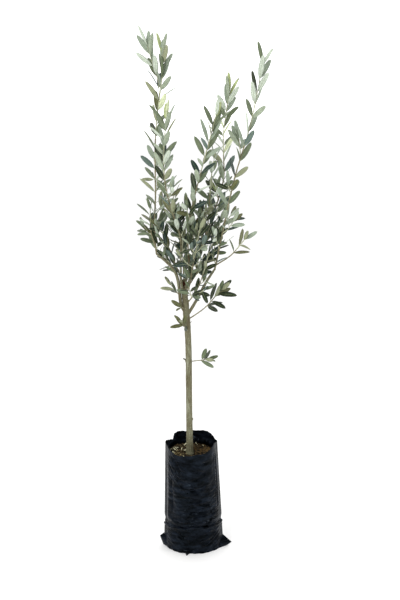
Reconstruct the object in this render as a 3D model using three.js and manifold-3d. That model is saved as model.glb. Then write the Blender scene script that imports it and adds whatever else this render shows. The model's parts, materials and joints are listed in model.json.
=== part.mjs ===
// A young olive tree, 1.5 m tall, in a plain black film nursery bag filled with bark compost.
// Millimetres, +Z up, +X to the right, +Y to the back. The origin is the centre of the bag's flat underside.
// The trunk and boughs are single tapering limbs. Each mass of foliage is one solid: twigs that branch by a
// seeded rule from one stem, with the leaves fused to them in opposite pairs, each pair turned from the last.

import * as THREE from "three";
import { mergeVertices } from "three/addons/utils/BufferGeometryUtils.js";
import Module from "manifold-3d";

const wasm = await Module();
wasm.setup();

// Clearance between two solids that touch on the real plant
const GAP = 0.35;

// The bag is a tube of film, so its girth is the same at every height
const FILM_WIDTH = 235;
const FILM_RADIUS = FILM_WIDTH / Math.PI;
const BAG_WALL = 1.5;
const BAG_FLOOR = 2;
const BAG_SIDES = 32;
const BAG_HALF_WIDTH_FOOT = 87;
const BAG_HALF_WIDTH_RIM = 73.5;
const BAG_SHIFT_RIM = -7;
const RIM_HEIGHT = 340;
const RIM_OPEN = 5;
const CREASE_OUT = 4;
const CREASE_SPREAD = 9;
const FOOT_ROLL = 9;
const FOOT_TUCK = 3.5;
const TIE_HEIGHT = 88;
const TIE_PINCH = 2.5;
const TIE_REACH = 9;
const BAG_ROWS = [0, 4, 14, 78, 88, 100, 158, 293];

// The rim's cut edge, as headings from the right towards the back with their heights. It steps down at the back
// left and dips at the front.
const RIM = [
  [0, 336], [12, 333], [33, 339], [47, 344], [66, 341], [85, 338], [103, 337], [126, 341], [136, 337], [140, 320],
  [155, 327], [172, 333], [185, 332], [200, 328], [213, 324], [228, 317], [244, 316], [267, 320], [290, 323],
  [306, 323], [315, 327], [324, 333], [336, 339], [348, 338], [360, 336],
];

// The two corners of the bag's bottom seam stand out as ears, each with a tip and a heel on the ground
const EAR_SINK = 4;
const EARS = [
  { tip: [-103, -2, 28], heel: [-93, -5, 0], side: 180, spread: [-18, 40], top: 38 },
  { tip: [115.5, -8, 10], heel: [100, -12, 0], side: 0, spread: [-46, 12], top: 32 },
];

// The compost fills the bag to a little under its rim, with a swelling and dipping edge
const SOIL_TOP = 296.15;
const SOIL_RISE = 4;
const SOIL_EDGE = 0.6;
const SOIL_WAVES = [
  { size: 0.5, count: 1, start: 0 },
  { size: 0.3, count: 3, start: 1 },
  { size: 0.2, count: 5, start: 2 },
];
const SOIL_PAD = 17;
const SOIL_ROWS = [14, 78, 88, 100, 158];
const SOIL_RINGS = [0.82, 0.55];

// Limbs lean by angles from upright, in degrees, read evenly along their length: right (+X) and back (+Y)
const STEP = 5;
const TRUNK_FOOT = [-11, 0, 296.5];
const TRUNK_SIDES = 10;
const TRUNK_ROW_EVERY = 6;
const TRUNK_FOOT_ROWS = [0, 1, 3];
const BOUGH_SIDES = 8;
const BOUGH_ROW_EVERY = 4;
const FLARE = 2.2;
const FLARE_HEIGHT = 11;
const FOOT_CUT = { width: 60, depth: 20 };
const LIMBS = [
  { name: "trunk", right: [-1, 0, -7], back: [0, 0], length: 527, radii: [10, 9, 9.1, 8.6] },
  { name: "bough_left", from: "trunk", at: 0.815, right: [-40, -3, -9, -45, -54], back: [-11, 13],
    length: 201, radii: [5, 4.2, 3.2] },
  { name: "bough_right", from: "trunk", at: 0.8, right: [34, 25, 33], back: [-1, -22],
    length: 166, radii: [4.8, 4, 3.1] },
  { name: "bough_inner", from: "trunk", at: 0.925, right: [-22, 0, 0], back: [-35, -2, -6],
    length: 115, radii: [3.8, 2.8] },
  { name: "bough_front", from: "trunk", at: 0.955, right: [48, -3, -8], back: [-40, -6, -11],
    length: 109, radii: [3.8, 2.8] },
  { name: "bough_back", from: "trunk", at: 0.965, right: [24, 23, 25], back: [33, 12, 2],
    length: 101, radii: [3.8, 2.9] },
];

// Masses of foliage. bare: the length of stem under the first leaves. pitch: the length between leaf pairs.
// turn: the heading of the first pair, from the right towards the back. shoots: the chance that a leaf's place
// bears a side shoot at the mass's foot, the share of the stem where they end, and their least and most pairs.
// leaf: the size of the mass's leaves beside the crown's. light: how far they turn to the light, where that is not
// LIGHT_TURN. Forks are strong side stems of the same mass.
const LEADER_SHOOTS = { chance: 0.55, end: 0.6, pairs: [2, 3] };
const HEART_SHOOTS = { chance: 0.95, end: 1.6, pairs: [2, 4] };
const NO_SHOOTS = { chance: 0, end: 1, pairs: [1, 1] };
const MASSES = [
  { name: "left_leader", from: "bough_left", at: 1, right: [-8, 4, -2, 3, 10, -2], back: [-1, 15, -5],
    length: 546, radii: [3.2, 1.5], bare: 12, pitch: 33, turn: 130, shoots: { ...LEADER_SHOOTS, end: 0.45 },
    forks: [
      { at: 0.79, right: [3, -20, -14], back: [2, 4], length: 140, bare: 24, pitch: 31, turn: 30 },
      { at: 0.03, right: [-30, 4, -6], back: [-22, 2], length: 112, bare: 14, pitch: 27, turn: 80 },
    ] },
  { name: "inner_leader", from: "bough_inner", at: 1, right: [9, -21, -11, 2, 7], back: [-12, -10, 3],
    length: 381, radii: [2.9, 1.5], bare: 8, pitch: 25, turn: 25, shoots: LEADER_SHOOTS, forks: [] },
  { name: "front_leader", from: "bough_front", at: 1, right: [-5, 13, 15, 15], back: [-3, -21, 0],
    length: 393, radii: [2.9, 1.5], bare: 8, pitch: 25, turn: 65, shoots: LEADER_SHOOTS, forks: [] },
  { name: "back_leader", from: "bough_back", at: 1, right: [27, 19, 19, -6, 6, 11], back: [7, 19, -7],
    length: 463, radii: [3, 1.5], bare: 10, pitch: 27, turn: 40, shoots: LEADER_SHOOTS,
    forks: [
      { at: 0.03, right: [24, 1, 9], back: [-15, 0, 0], length: 253, bare: 26, pitch: 29, turn: 0 },
    ] },
  { name: "right_leader", from: "bough_right", at: 1, right: [11, 11, 12, 18, 11, 10], back: [-9, -3, 2],
    length: 560, radii: [3.2, 1.5], bare: 14, pitch: 42, turn: 150, shoots: { ...LEADER_SHOOTS, end: 0.5 },
    forks: [
      { at: 0.57, right: [27, -6, -37], back: [26, 12], length: 51, bare: 20, pitch: 16, turn: 60 },
      { at: 0.02, right: [50, 55, 22], back: [-35, -13], length: 113, bare: 64, pitch: 24, turn: 20,
        light: 0.55 },
    ] },
  { name: "heart_left", from: "trunk", at: 0.94, right: [-17, -20, -20, -16], back: [34, -16, -13],
    length: 205, radii: [2.6, 1.4], bare: 42, pitch: 24, turn: 70, light: 0.45, shoots: HEART_SHOOTS,
    forks: [] },
  { name: "heart_front", from: "trunk", at: 0.9, right: [23, 7, 12, 8], back: [-36, -16, -13],
    length: 225, radii: [2.6, 1.4], bare: 66, pitch: 24, turn: 20, light: 0.45, shoots: HEART_SHOOTS,
    forks: [] },
  { name: "heart_back", from: "trunk", at: 0.91, right: [-5, -3, -7, -7], back: [40, 10, 6],
    length: 225, radii: [2.6, 1.4], bare: 56, pitch: 24, turn: 10, light: 0.45, shoots: HEART_SHOOTS,
    forks: [] },
  { name: "heart_right", from: "trunk", at: 0.93, right: [35, 31, 27, 11], back: [23, -4, 5],
    length: 225, radii: [2.6, 1.4], bare: 56, pitch: 24, turn: 100, light: 0.45, shoots: HEART_SHOOTS,
    forks: [] },
  { name: "heart_middle", from: "trunk", at: 0.985, right: [28, 20, 18, 8], back: [-4, -5, -2],
    length: 205, radii: [2.4, 1.4], bare: 48, pitch: 25, turn: 45, light: 0.45, shoots: HEART_SHOOTS,
    forks: [] },
  { name: "fork_shoot", from: "trunk", at: 0.86, right: [46, 20, 20, 7], back: [-41, -11, -18],
    length: 188, radii: [2.5, 1.4], bare: 34, pitch: 27, turn: 35, light: 0.45, shoots: LEADER_SHOOTS,
    forks: [] },
  { name: "left_twig", from: "trunk", at: 0.87, right: [-41, -39, -38], back: [41, -10],
    length: 66, radii: [2, 1.4], bare: 36, pitch: 15, turn: 105, leaf: 0.82, light: 0.45, shoots: NO_SHOOTS,
    forks: [] },
  { name: "right_twig", from: "trunk", at: 0.775, right: [50, 54, 24], back: [-17, -13],
    length: 133, radii: [2.5, 1.4], bare: 72, pitch: 20, turn: 60, leaf: 1.2, light: 0.85, shoots: NO_SHOOTS,
    forks: [] },
  { name: "low_left_twig", from: "trunk", at: 0.715, right: [-38, -16], back: [-68, -14],
    length: 46, radii: [2, 1.4], bare: 19, pitch: 12, turn: 90, leaf: 0.95, light: 0.45, shoots: NO_SHOOTS,
    forks: [] },
  { name: "low_right_twig", from: "trunk", at: 0.54, right: [78, 82, 80], back: [-53, -31],
    length: 54, radii: [2, 1.4], bare: 34, pitch: 10, turn: 0, leaf: 0.95, light: 0.85, shoots: NO_SHOOTS,
    forks: [] },
  { name: "mid_left_twig", from: "trunk", at: 0.838, right: [-50, -56], back: [-66, -57],
    length: 22, radii: [1.8, 1.4], bare: 20, pitch: 10, turn: 80, leaf: 1.15, light: 0.85, shoots: NO_SHOOTS,
    forks: [] },
];

// Twigs are three-sided and run in straight spans
const TWIG_SIDES = 3;
const TWIG_SPAN = 55;
const TIP_STUB = 2;
const TIP_PITCH = 0.5;
const TIP_POWER = 4;
const PITCH_SPREAD = 0.14;
const FORK_THICKNESS = 0.85;
const SHOOT_RADII = [1.6, 1.4];
const LEAF_SINK = 0.35;
const SHOOT_OPEN = [34, 54];
const SHOOT_PITCH = 15;
const SHOOT_BARE = 14;
const SHOOT_LIFT = 0.4;
const SHOOT_CLEAR = 5;
const SECOND_SHOOT = 0.7;

// Leaves: longer towards the top of the tree, narrow, and opened from the twig by these angles. Each blade is
// rolled at random and turned partly to the light in front.
const LEAF_LOW = { height: 838, length: 47, width: 14 };
const LEAF_HIGH = { height: 1408, length: 70, width: 15.5 };
const LEAF_SPREAD = 0.16;
const LEAF_THICKNESS = 0.028;
const LEAF_OPEN_LOW = [30, 72];
const LEAF_OPEN_HIGH = [9, 38];
const LEAF_ROLL = 42;
const LIGHT_TURN = 0.25;
const LEAF_CURL = 0.07;
const SHOOT_LEAF = 0.92;
const TIP_LEAF = 0.8;
const TIP_OPEN = [10, 24];
const PAIR_TURN = 90;
const TURN_SPREAD = 16;
const LEAF_TRIES = [
  { turn: 0, open: 1, length: 1 },
  { turn: 35, open: 1, length: 1 },
  { turn: -35, open: 1, length: 1 },
  { turn: 15, open: 0.55, length: 0.92 },
  { turn: 75, open: 1, length: 0.88 },
  { turn: -75, open: 1, length: 0.88 },
  { turn: -15, open: 0.4, length: 0.8 },
];
const LEAF_STAGGER = 4;
const LEAF_STATIONS = [0.3, 0.72];
const LEAF_FULLNESS = [0.92, 0.84];
const LEAF_RIDGE = 0.32;
const LEAF_UNDERSIDE = [[0, 5, 1], [1, 5, 4], [1, 4, 2], [2, 4, 3]];
const LEAF_CROSS = [0.1, 0.25, 0.4, 0.55, 0.7, 0.85, 1];
const LEAF_MIDLINE = [0.15, 0.5, 0.85];

// A leaf keeps this far inside its mass's own space, and this far from the limbs
const SPACE_MARGIN = 0.7;
const LIMB_MARGIN = 1.5;

const UP = new THREE.Vector3(0, 0, 1);
const BACK = new THREE.Vector3(0, 1, 0);
const LIGHT = new THREE.Vector3(-0.25, -1, 0.35);

const radians = (degrees) => THREE.MathUtils.degToRad(degrees);
const mix = (low, high, share) => low + (high - low) * share;

// A repeatable stream of numbers from 0 to 1
function randomStream(seed) {
  let state = 1 + seed * 104729;
  const draw = () => {
    state = (state * 48271) % 2147483647;
    return state / 2147483647;
  };
  draw();
  draw();
  return draw;
}

// Reads a list of values evenly along a share from 0 to 1
function readAlong(values, share) {
  const place = share * (values.length - 1);
  const index = Math.min(Math.floor(place), values.length - 2);
  return mix(values[index], values[index + 1], place - index);
}

function pointAlong(points, share) {
  const place = share * (points.length - 1);
  const index = Math.min(Math.floor(place), points.length - 2);
  return points[index].clone().lerp(points[index + 1], place - index);
}

// The line of a limb or stem: short steps whose direction follows the lean lists
function leaningLine(foot, { right, back, length }) {
  const count = Math.max(2, Math.floor(length / STEP + 0.5));
  const points = [foot.clone()];
  for (let index = 0; index < count; index += 1) {
    const share = (index + 0.5) / count;
    const direction = new THREE.Vector3(
      Math.tan(radians(readAlong(right, share))),
      Math.tan(radians(readAlong(back, share))),
      1,
    ).normalize();
    points.push(points[index].clone().addScaledVector(direction, length / count));
  }
  return points;
}

// Two directions square to a line's own: one towards the right, one towards the back
function crossFrame(direction) {
  const toBack = BACK.clone().addScaledVector(direction, -BACK.dot(direction)).normalize();
  const toRight = new THREE.Vector3().crossVectors(toBack, direction);
  return { toRight, toBack };
}

function headingVector(direction, degrees) {
  const { toRight, toBack } = crossFrame(direction);
  const angle = radians(degrees);
  return toRight.multiplyScalar(Math.cos(angle)).addScaledVector(toBack, Math.sin(angle));
}

function directionAt(points, index) {
  const before = points[Math.max(index - 1, 0)];
  const after = points[Math.min(index + 1, points.length - 1)];
  return after.clone().sub(before).normalize();
}

function closedGeometry(corners, triangles) {
  const geometry = new THREE.BufferGeometry();
  geometry.setAttribute("position", new THREE.Float32BufferAttribute(corners.flatMap((v) => v.toArray()), 3));
  geometry.setIndex(triangles.flat());
  return geometry;
}

function toSolid(geometry) {
  const merged = mergeVertices(geometry);
  return new wasm.Manifold(new wasm.Mesh({
    numProp: 3,
    vertProperties: Float32Array.from(merged.attributes.position.array),
    triVerts: Uint32Array.from(merged.index.array),
  }));
}

function toGeometry(solid) {
  const mesh = solid.getMesh();
  const geometry = new THREE.BufferGeometry();
  geometry.setAttribute("position", new THREE.BufferAttribute(Float32Array.from(mesh.vertProperties), 3));
  geometry.setIndex(Array.from(mesh.triVerts));
  return geometry;
}

// The outer body of a solid: sealed hollows are filled and loose scraps dropped
function outerBody(solid) {
  return solid.decompose().reduce((best, piece) => (piece.volume() > best.volume() ? piece : best));
}

// Triangles that skin a stack of rings with the same number of corners, with a flat or pointed cap at each end
function skinRings(rings) {
  const sides = rings[0].length;
  const corners = rings.flat();
  const triangles = [];
  for (let row = 0; row < rings.length - 1; row += 1) {
    for (let side = 0; side < sides; side += 1) {
      const next = (side + 1) % sides;
      const low = row * sides;
      const high = low + sides;
      triangles.push([low + side, low + next, high + next], [low + side, high + next, high + side]);
    }
  }
  const top = (rings.length - 1) * sides;
  for (let side = 1; side < sides - 1; side += 1) {
    triangles.push([0, side + 1, side], [top, top + side, top + side + 1]);
  }
  return closedGeometry(corners, triangles);
}

function tubeSolid(points, radii, sides) {
  const rings = points.map((point, index) => {
    const direction = directionAt(points, index);
    const ring = [];
    for (let side = 0; side < sides; side += 1) {
      const spoke = headingVector(direction, (360 * side) / sides);
      ring.push(point.clone().addScaledVector(spoke, radii[index]));
    }
    return ring;
  });
  return toSolid(skinRings(rings));
}

// Limbs

function limbRadius(limb, share) {
  const radius = readAlong(limb.radii, share);
  return limb.from ? radius : radius + FLARE * Math.exp((-share * limb.length) / FLARE_HEIGHT);
}

function limbRows(limb) {
  const rows = limb.from ? [0] : [...TRUNK_FOOT_ROWS];
  const every = limb.from ? BOUGH_ROW_EVERY : TRUNK_ROW_EVERY;
  for (let index = every; index < limb.line.length - 1; index += every) {
    rows.push(index);
  }
  rows.push(limb.line.length - 1);
  return rows;
}

// A limb's solid, or with grow the slightly larger one that keeps its neighbours clear of it
function limbSolid(limb, grow = 0) {
  const rows = limbRows(limb);
  const last = limb.line.length - 1;
  const points = rows.map((row) => limb.line[row].clone());
  const radii = rows.map((row) => limbRadius(limb, row / last) + grow);
  points[points.length - 1].addScaledVector(directionAt(limb.line, last), grow);
  return tubeSolid(points, radii, limb.from ? BOUGH_SIDES : TRUNK_SIDES);
}

function growLimbs() {
  const limbs = {};
  for (const values of LIMBS) {
    const foot = values.from
      ? pointAlong(limbs[values.from].line, values.at)
      : new THREE.Vector3(...TRUNK_FOOT);
    limbs[values.name] = { ...values, line: leaningLine(foot, values) };
  }
  return limbs;
}

// The trunk stands on a flat cut, and each bough is cut clear of the trunk that carries it
function limbSolids(limbs) {
  const solids = {};
  for (const limb of Object.values(limbs)) {
    const whole = limbSolid(limb);
    solids[limb.name] = limb.from
      ? outerBody(whole.subtract(limbSolid(limbs[limb.from], GAP)))
      : flatFooted(whole);
  }
  return solids;
}

function flatFooted(solid) {
  const below = new THREE.BoxGeometry(FOOT_CUT.width, FOOT_CUT.width, FOOT_CUT.depth);
  below.deleteAttribute("normal");
  below.deleteAttribute("uv");
  below.translate(TRUNK_FOOT[0], TRUNK_FOOT[1], TRUNK_FOOT[2] - FOOT_CUT.depth / 2);
  return outerBody(solid.subtract(toSolid(below)));
}

// Twigs

// A twig is a run of straight spans. Its leaf pairs sit on the spans, with the direction of the span there.
function makeTwig(points, radii, places) {
  const spans = points.slice(1).map((point, index) => point.distanceTo(points[index]));
  const length = spans.reduce((sum, span) => sum + span, 0);
  const thickness = (place) => mix(radii[0], radii[1], place / length);
  const pairs = places.map((place) => {
    let index = 0;
    let start = 0;
    while (index < spans.length - 1 && start + spans[index] < place) {
      start += spans[index];
      index += 1;
    }
    return {
      point: points[index].clone().lerp(points[index + 1], (place - start) / spans[index]),
      axis: points[index + 1].clone().sub(points[index]).normalize(),
      radius: thickness(place),
      share: place / length,
    };
  });
  let along = 0;
  const cornerRadii = [radii[0], ...spans.map((span) => {
    along += span;
    return thickness(along);
  })];
  return { points, radii: cornerRadii, pairs };
}

// A stem follows its leaning line in spans, with its leaf pairs spaced by its pitch up to its tip
function stemTwig(line, values, draw) {
  const { length, bare, pitch, radii } = values;
  const spanCount = Math.max(1, Math.round(length / TWIG_SPAN));
  const points = [];
  for (let index = 0; index <= spanCount; index += 1) {
    points.push(pointAlong(line, index / spanCount));
  }
  const places = [];
  let place = bare;
  while (place < length - pitch * TIP_PITCH) {
    places.push(place);
    const closing = mix(1, TIP_PITCH, (place / length) ** TIP_POWER);
    place += pitch * closing * mix(1 - PITCH_SPREAD, 1 + PITCH_SPREAD, draw());
  }
  places.push(length - TIP_STUB);
  return makeTwig(points, radii, places);
}

// A side shoot leaves a leaf pair at an angle and turns gently upward
function shootTwig(pair, pairCount, open, heading) {
  const radial = headingVector(pair.axis, heading);
  const course = pair.axis.clone().multiplyScalar(Math.cos(open)).addScaledVector(radial, Math.sin(open));
  const length = SHOOT_BARE + SHOOT_PITCH * (pairCount - 1) + TIP_STUB;
  const points = [pair.point.clone(), pair.point.clone().addScaledVector(course, length / 2)];
  course.addScaledVector(UP, SHOOT_LIFT).normalize();
  points.push(points[1].clone().addScaledVector(course, length / 2));
  const places = [];
  for (let index = 0; index < pairCount; index += 1) {
    places.push(SHOOT_BARE + SHOOT_PITCH * index);
  }
  return makeTwig(points, SHOOT_RADII, places);
}

// Sample points along a twig, close enough to stand for its line
function sampleTwig(twig) {
  const samples = [];
  for (let index = 0; index < twig.points.length - 1; index += 1) {
    const span = twig.points[index].distanceTo(twig.points[index + 1]);
    const count = Math.max(1, Math.floor(span / STEP + 0.5));
    for (let part = 0; part < count; part += 1) {
      samples.push(twig.points[index].clone().lerp(twig.points[index + 1], part / count));
    }
  }
  samples.push(twig.points[twig.points.length - 1].clone());
  return samples;
}

function nearest(point, samples) {
  let best = Infinity;
  for (const sample of samples) {
    best = Math.min(best, point.distanceToSquared(sample));
  }
  return Math.sqrt(best);
}

function touchesLimb(point, limbs, margin) {
  return Object.values(limbs).some((limb) => {
    const last = limb.line.length - 1;
    return limb.line.some((place, index) => (
      point.distanceTo(place) < limbRadius(limb, index / last) + margin
    ));
  });
}

// First every mass grows its stems, then its side shoots where they stay clear of the others
function growTwigs(limbs) {
  const masses = MASSES.map((values, index) => growStems(values, index, limbs));
  for (const mass of masses) {
    growShoots(mass, masses, limbs);
  }
  return masses;
}

function growStems(values, index, limbs) {
  const draw = randomStream(index + 1);
  const limb = limbs[values.from];
  const main = leaningLine(pointAlong(limb.line, values.at), values);
  const leafScale = values.leaf ?? 1;
  const light = values.light ?? LIGHT_TURN;
  const stem = { ...stemTwig(main, values, draw), turn: values.turn, light, leafScale, stem: true, bearing: [] };
  const twigs = [stem];
  for (const fork of values.forks) {
    const line = leaningLine(pointAlong(main, fork.at), fork);
    const radii = [mix(...values.radii, fork.at) * FORK_THICKNESS, values.radii[1]];
    const twig = stemTwig(line, { ...fork, radii }, draw);
    twigs.push({
      ...twig, turn: fork.turn, light: fork.light ?? LIGHT_TURN, leafScale, stem: true, bearing: [],
    });
  }
  return { ...values, draw, limb, twigs, samples: twigs.flatMap(sampleTwig) };
}

function growShoots(mass, masses, limbs) {
  const { draw } = mass;
  for (const stem of mass.twigs.filter((twig) => twig.stem)) {
    for (const [order, pair] of stem.pairs.slice(0, -1).entries()) {
      const chance = mass.shoots.chance * (1 - pair.share / mass.shoots.end);
      const wanted = [draw() < chance, draw() < chance * SECOND_SHOOT];
      for (const [side, grows] of wanted.entries()) {
        const open = radians(mix(...SHOOT_OPEN, draw()));
        const pairCount = Math.round(mix(...mass.shoots.pairs, draw()));
        const heading = stem.turn + PAIR_TURN * order + 180 * side;
        const twig = shootTwig(pair, pairCount, open, heading);
        const reach = sampleTwig(twig).slice(2);
        if (grows && shootFits(reach, mass, masses, limbs)) {
          const turn = heading + PAIR_TURN;
          mass.twigs.push({
            ...twig, turn, light: stem.light, leafScale: SHOOT_LEAF, stem: false, bearing: [],
          });
          mass.samples.push(...reach);
          stem.bearing.push(2 * order + side);
        }
      }
    }
  }
}

function shootFits(reach, mass, masses, limbs) {
  return reach.every((point) => (
    masses.every((other) => other === mass || nearest(point, other.samples) > SHOOT_CLEAR)
    && nearest(point, mass.samples) > SHOOT_CLEAR / 2
    && !touchesLimb(point, limbs, SHOOT_CLEAR)
  ));
}

// Leaves

// How far up the crown a height is, from 0 to 1
function crownShare(height) {
  return THREE.MathUtils.clamp((height - LEAF_LOW.height) / (LEAF_HIGH.height - LEAF_LOW.height), 0, 1);
}

// The turn about its own direction that would bring a face, or its underside, square to the light
function turnToLight(direction, face) {
  const aim = LIGHT.clone().addScaledVector(direction, -LIGHT.dot(direction)).normalize();
  const aside = new THREE.Vector3().crossVectors(face, aim).dot(direction);
  return Math.asin(THREE.MathUtils.clamp(aside, -1, 1)) * Math.sign(face.dot(aim));
}

// A leaf's place: its root on the twig's axis, its direction, its face turned partly to the light, and its sizes
function placeLeaf(pair, heading, rise, size, change) {
  const radial = headingVector(pair.axis, heading + change.turn);
  const along = Math.cos(size.open * change.open);
  const aside = Math.sin(size.open * change.open);
  const direction = pair.axis.clone().multiplyScalar(along).addScaledVector(radial, aside);
  const face = pair.axis.clone().multiplyScalar(aside).addScaledVector(radial, -along);
  face.applyAxisAngle(direction, size.roll + size.light * turnToLight(direction, face));
  const across = new THREE.Vector3().crossVectors(direction, face);
  const root = pair.point.clone()
    .addScaledVector(pair.axis, rise)
    .addScaledVector(direction, -LEAF_SINK * pair.radius);
  const length = size.length * change.length;
  return { root, direction, face, across, length, width: size.width * change.length };
}

// A point of the blade: along from root to tip, out to one side, with the tip curled back
function leafPoint(leaf, along, out) {
  return leaf.root.clone()
    .addScaledVector(leaf.direction, along * leaf.length)
    .addScaledVector(leaf.across, out * leaf.width)
    .addScaledVector(leaf.face, -LEAF_CURL * leaf.length * along * along);
}

function leafOutline(leaf) {
  const left = LEAF_STATIONS.map((along, index) => leafPoint(leaf, along, -LEAF_FULLNESS[index] / 2));
  const right = LEAF_STATIONS.map((along, index) => leafPoint(leaf, along, LEAF_FULLNESS[index] / 2));
  return [leafPoint(leaf, 0, 0), ...right, leafPoint(leaf, 1, 0), ...left.reverse()];
}

// A leaf is flat below, in bands from edge to edge, and rises to a ridge above, thickest near its root
function leafSolid(leaf) {
  const outline = leafOutline(leaf);
  const ridge = leafPoint(leaf, LEAF_RIDGE, 0).addScaledVector(leaf.face, LEAF_THICKNESS * leaf.length);
  const upper = outline.map((corner, index) => [index, (index + 1) % outline.length, outline.length]);
  return toSolid(closedGeometry([...outline, ridge], [...upper, ...LEAF_UNDERSIDE]));
}

// The points of a leaf that have to lie in its mass's own space
function leafTestPoints(leaf) {
  const outline = leafOutline(leaf).slice(1);
  const middle = LEAF_MIDLINE.map((along) => leafPoint(leaf, along, 0));
  const edges = [leafPoint(leaf, 0.5, 0.5), leafPoint(leaf, 0.5, -0.5)];
  return [...outline, ...middle, ...edges];
}

// A mass's own space is what lies nearer to its twigs than to those of any other mass
function leafFits(leaf, mass, masses, limbs) {
  return leafTestPoints(leaf).every((point) => {
    const own = nearest(point, mass.samples) + SPACE_MARGIN;
    return masses.every((other) => other === mass || nearest(point, other.samples) > own)
      && !touchesLimb(point, limbs, LIMB_MARGIN);
  });
}

// Where a point lies on a leaf's blade: along it, out to the side, and above its curled face
function onBlade(leaf, point) {
  const offset = point.clone().sub(leaf.root);
  const along = offset.dot(leaf.direction) / leaf.length;
  const out = offset.dot(leaf.across) / leaf.width;
  const above = offset.dot(leaf.face) + LEAF_CURL * leaf.length * along * along;
  return { above, inside: along > LEAF_CROSS[0] && along < 1 && Math.abs(out) < 0.5 };
}

// Whether the midline or an edge of one leaf passes through the blade of another
function cutsThrough(leaf, other) {
  return [-0.5, 0, 0.5].some((out) => {
    const places = LEAF_CROSS.map((along) => {
      const width = along === 1 ? 0 : out;
      return onBlade(other, leafPoint(leaf, along, width));
    });
    return places.slice(1).some((place, index) => (
      place.above * places[index].above < 0 && place.inside && places[index].inside
    ));
  });
}

function crossesLeaf(leaf, others) {
  return others.some((other) => (
    leaf.root.distanceTo(other.root) < leaf.length + other.length
    && (cutsThrough(leaf, other) || cutsThrough(other, leaf))
  ));
}

// Both leaves of each pair, unless a side shoot has taken a leaf's place or it finds no room
function growLeaves(mass, masses, limbs) {
  const leaves = [];
  for (const twig of mass.twigs) {
    for (const [order, pair] of twig.pairs.entries()) {
      const atTip = order === twig.pairs.length - 1;
      const turn = twig.turn + PAIR_TURN * order + mix(-TURN_SPREAD, TURN_SPREAD, mass.draw());
      for (const side of [0, 1]) {
        const size = leafSize(pair, twig, atTip, mass.draw);
        const fitting = LEAF_TRIES
          .map((change) => placeLeaf(pair, turn + 180 * side, LEAF_STAGGER * side, size, change))
          .find((leaf) => leafFits(leaf, mass, masses, limbs) && !crossesLeaf(leaf, leaves));
        if (fitting && !twig.bearing.includes(2 * order + side)) {
          leaves.push(fitting);
        }
      }
    }
  }
  return leaves;
}

function leafSize(pair, twig, atTip, draw) {
  const up = crownShare(pair.point.z);
  const smaller = twig.leafScale * (atTip ? TIP_LEAF : 1);
  const spread = draw();
  const open = mix(mix(...LEAF_OPEN_LOW, spread), mix(...LEAF_OPEN_HIGH, spread), up);
  return {
    open: radians(atTip ? mix(...TIP_OPEN, spread) : open),
    roll: radians(mix(-LEAF_ROLL, LEAF_ROLL, draw())),
    length: mix(LEAF_LOW.length, LEAF_HIGH.length, up) * smaller * mix(1 - LEAF_SPREAD, 1 + LEAF_SPREAD, draw()),
    width: mix(LEAF_LOW.width, LEAF_HIGH.width, up) * smaller,
    light: twig.light,
  };
}

function massSolid(mass, masses, limbs) {
  const twigs = mass.twigs.map((twig) => tubeSolid(twig.points, twig.radii, TWIG_SIDES));
  const leaves = growLeaves(mass, masses, limbs).map(leafSolid);
  const whole = wasm.Manifold.union([...twigs, ...leaves]);
  return outerBody(whole.subtract(limbSolid(mass.limb, GAP)));
}

// Bag and compost

const bagHalfWidth = (z) => mix(BAG_HALF_WIDTH_FOOT, BAG_HALF_WIDTH_RIM, z / RIM_HEIGHT);
const bagDepth = (halfWidth) => Math.sqrt(2 * FILM_RADIUS ** 2 - halfWidth ** 2);

// A point of the film at a heading and height, moved inward by inset
function filmPoint(degrees, z, inset) {
  const angle = radians(degrees);
  const halfWidth = bagHalfWidth(z);
  const fromFold = Math.abs(((degrees + 90) % 180) - 90);
  const crease = CREASE_OUT * Math.exp(-((fromFold / CREASE_SPREAD) ** 2));
  const roll = z < FOOT_ROLL ? FOOT_TUCK * (1 - z / FOOT_ROLL) ** 2 : 0;
  const pinch = TIE_PINCH * Math.exp(-(((z - TIE_HEIGHT) / TIE_REACH) ** 2));
  const inward = inset + roll + pinch - crease;
  return new THREE.Vector3(
    BAG_SHIFT_RIM * (z / RIM_HEIGHT) + (halfWidth - inward) * Math.cos(angle),
    (bagDepth(halfWidth) - inward) * Math.sin(angle),
    z,
  );
}

function rimHeight(degrees) {
  const next = RIM.findIndex(([heading]) => heading > degrees);
  const [before, low] = RIM[next - 1];
  const [after, high] = RIM[next];
  return mix(low, high, (degrees - before) / (after - before));
}

function filmRing(height, inset) {
  const ring = [];
  for (let side = 0; side < BAG_SIDES; side += 1) {
    const degrees = (360 * side) / BAG_SIDES;
    const z = typeof height === "function" ? height(degrees) : height;
    ring.push(filmPoint(degrees, z, inset));
  }
  return ring;
}

function earSolid(ear) {
  const wall = (turn, z) => filmPoint(ear.side + turn, z, EAR_SINK).setZ(z);
  const corners = [
    new THREE.Vector3(...ear.tip),
    wall(0, ear.top),
    wall(ear.spread[0], 0),
    wall(ear.spread[1], 0),
    new THREE.Vector3(...ear.heel),
  ];
  return toSolid(closedGeometry(corners, [[0, 1, 2], [0, 3, 1], [0, 2, 4], [0, 4, 3], [4, 2, 3], [1, 3, 2]]));
}

function bagSolid() {
  const outside = BAG_ROWS.map((z) => filmRing(z, 0));
  const inside = BAG_ROWS.slice(2).map((z) => filmRing(z, BAG_WALL));
  const outer = toSolid(skinRings([...outside, filmRing(rimHeight, 0)]));
  const overRim = (degrees) => rimHeight(degrees) + RIM_OPEN;
  const cavity = toSolid(skinRings([filmRing(BAG_FLOOR, BAG_WALL), ...inside, filmRing(overRim, BAG_WALL)]));
  return outerBody(wasm.Manifold.union([outer, ...EARS.map(earSolid)]).subtract(cavity));
}

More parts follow.
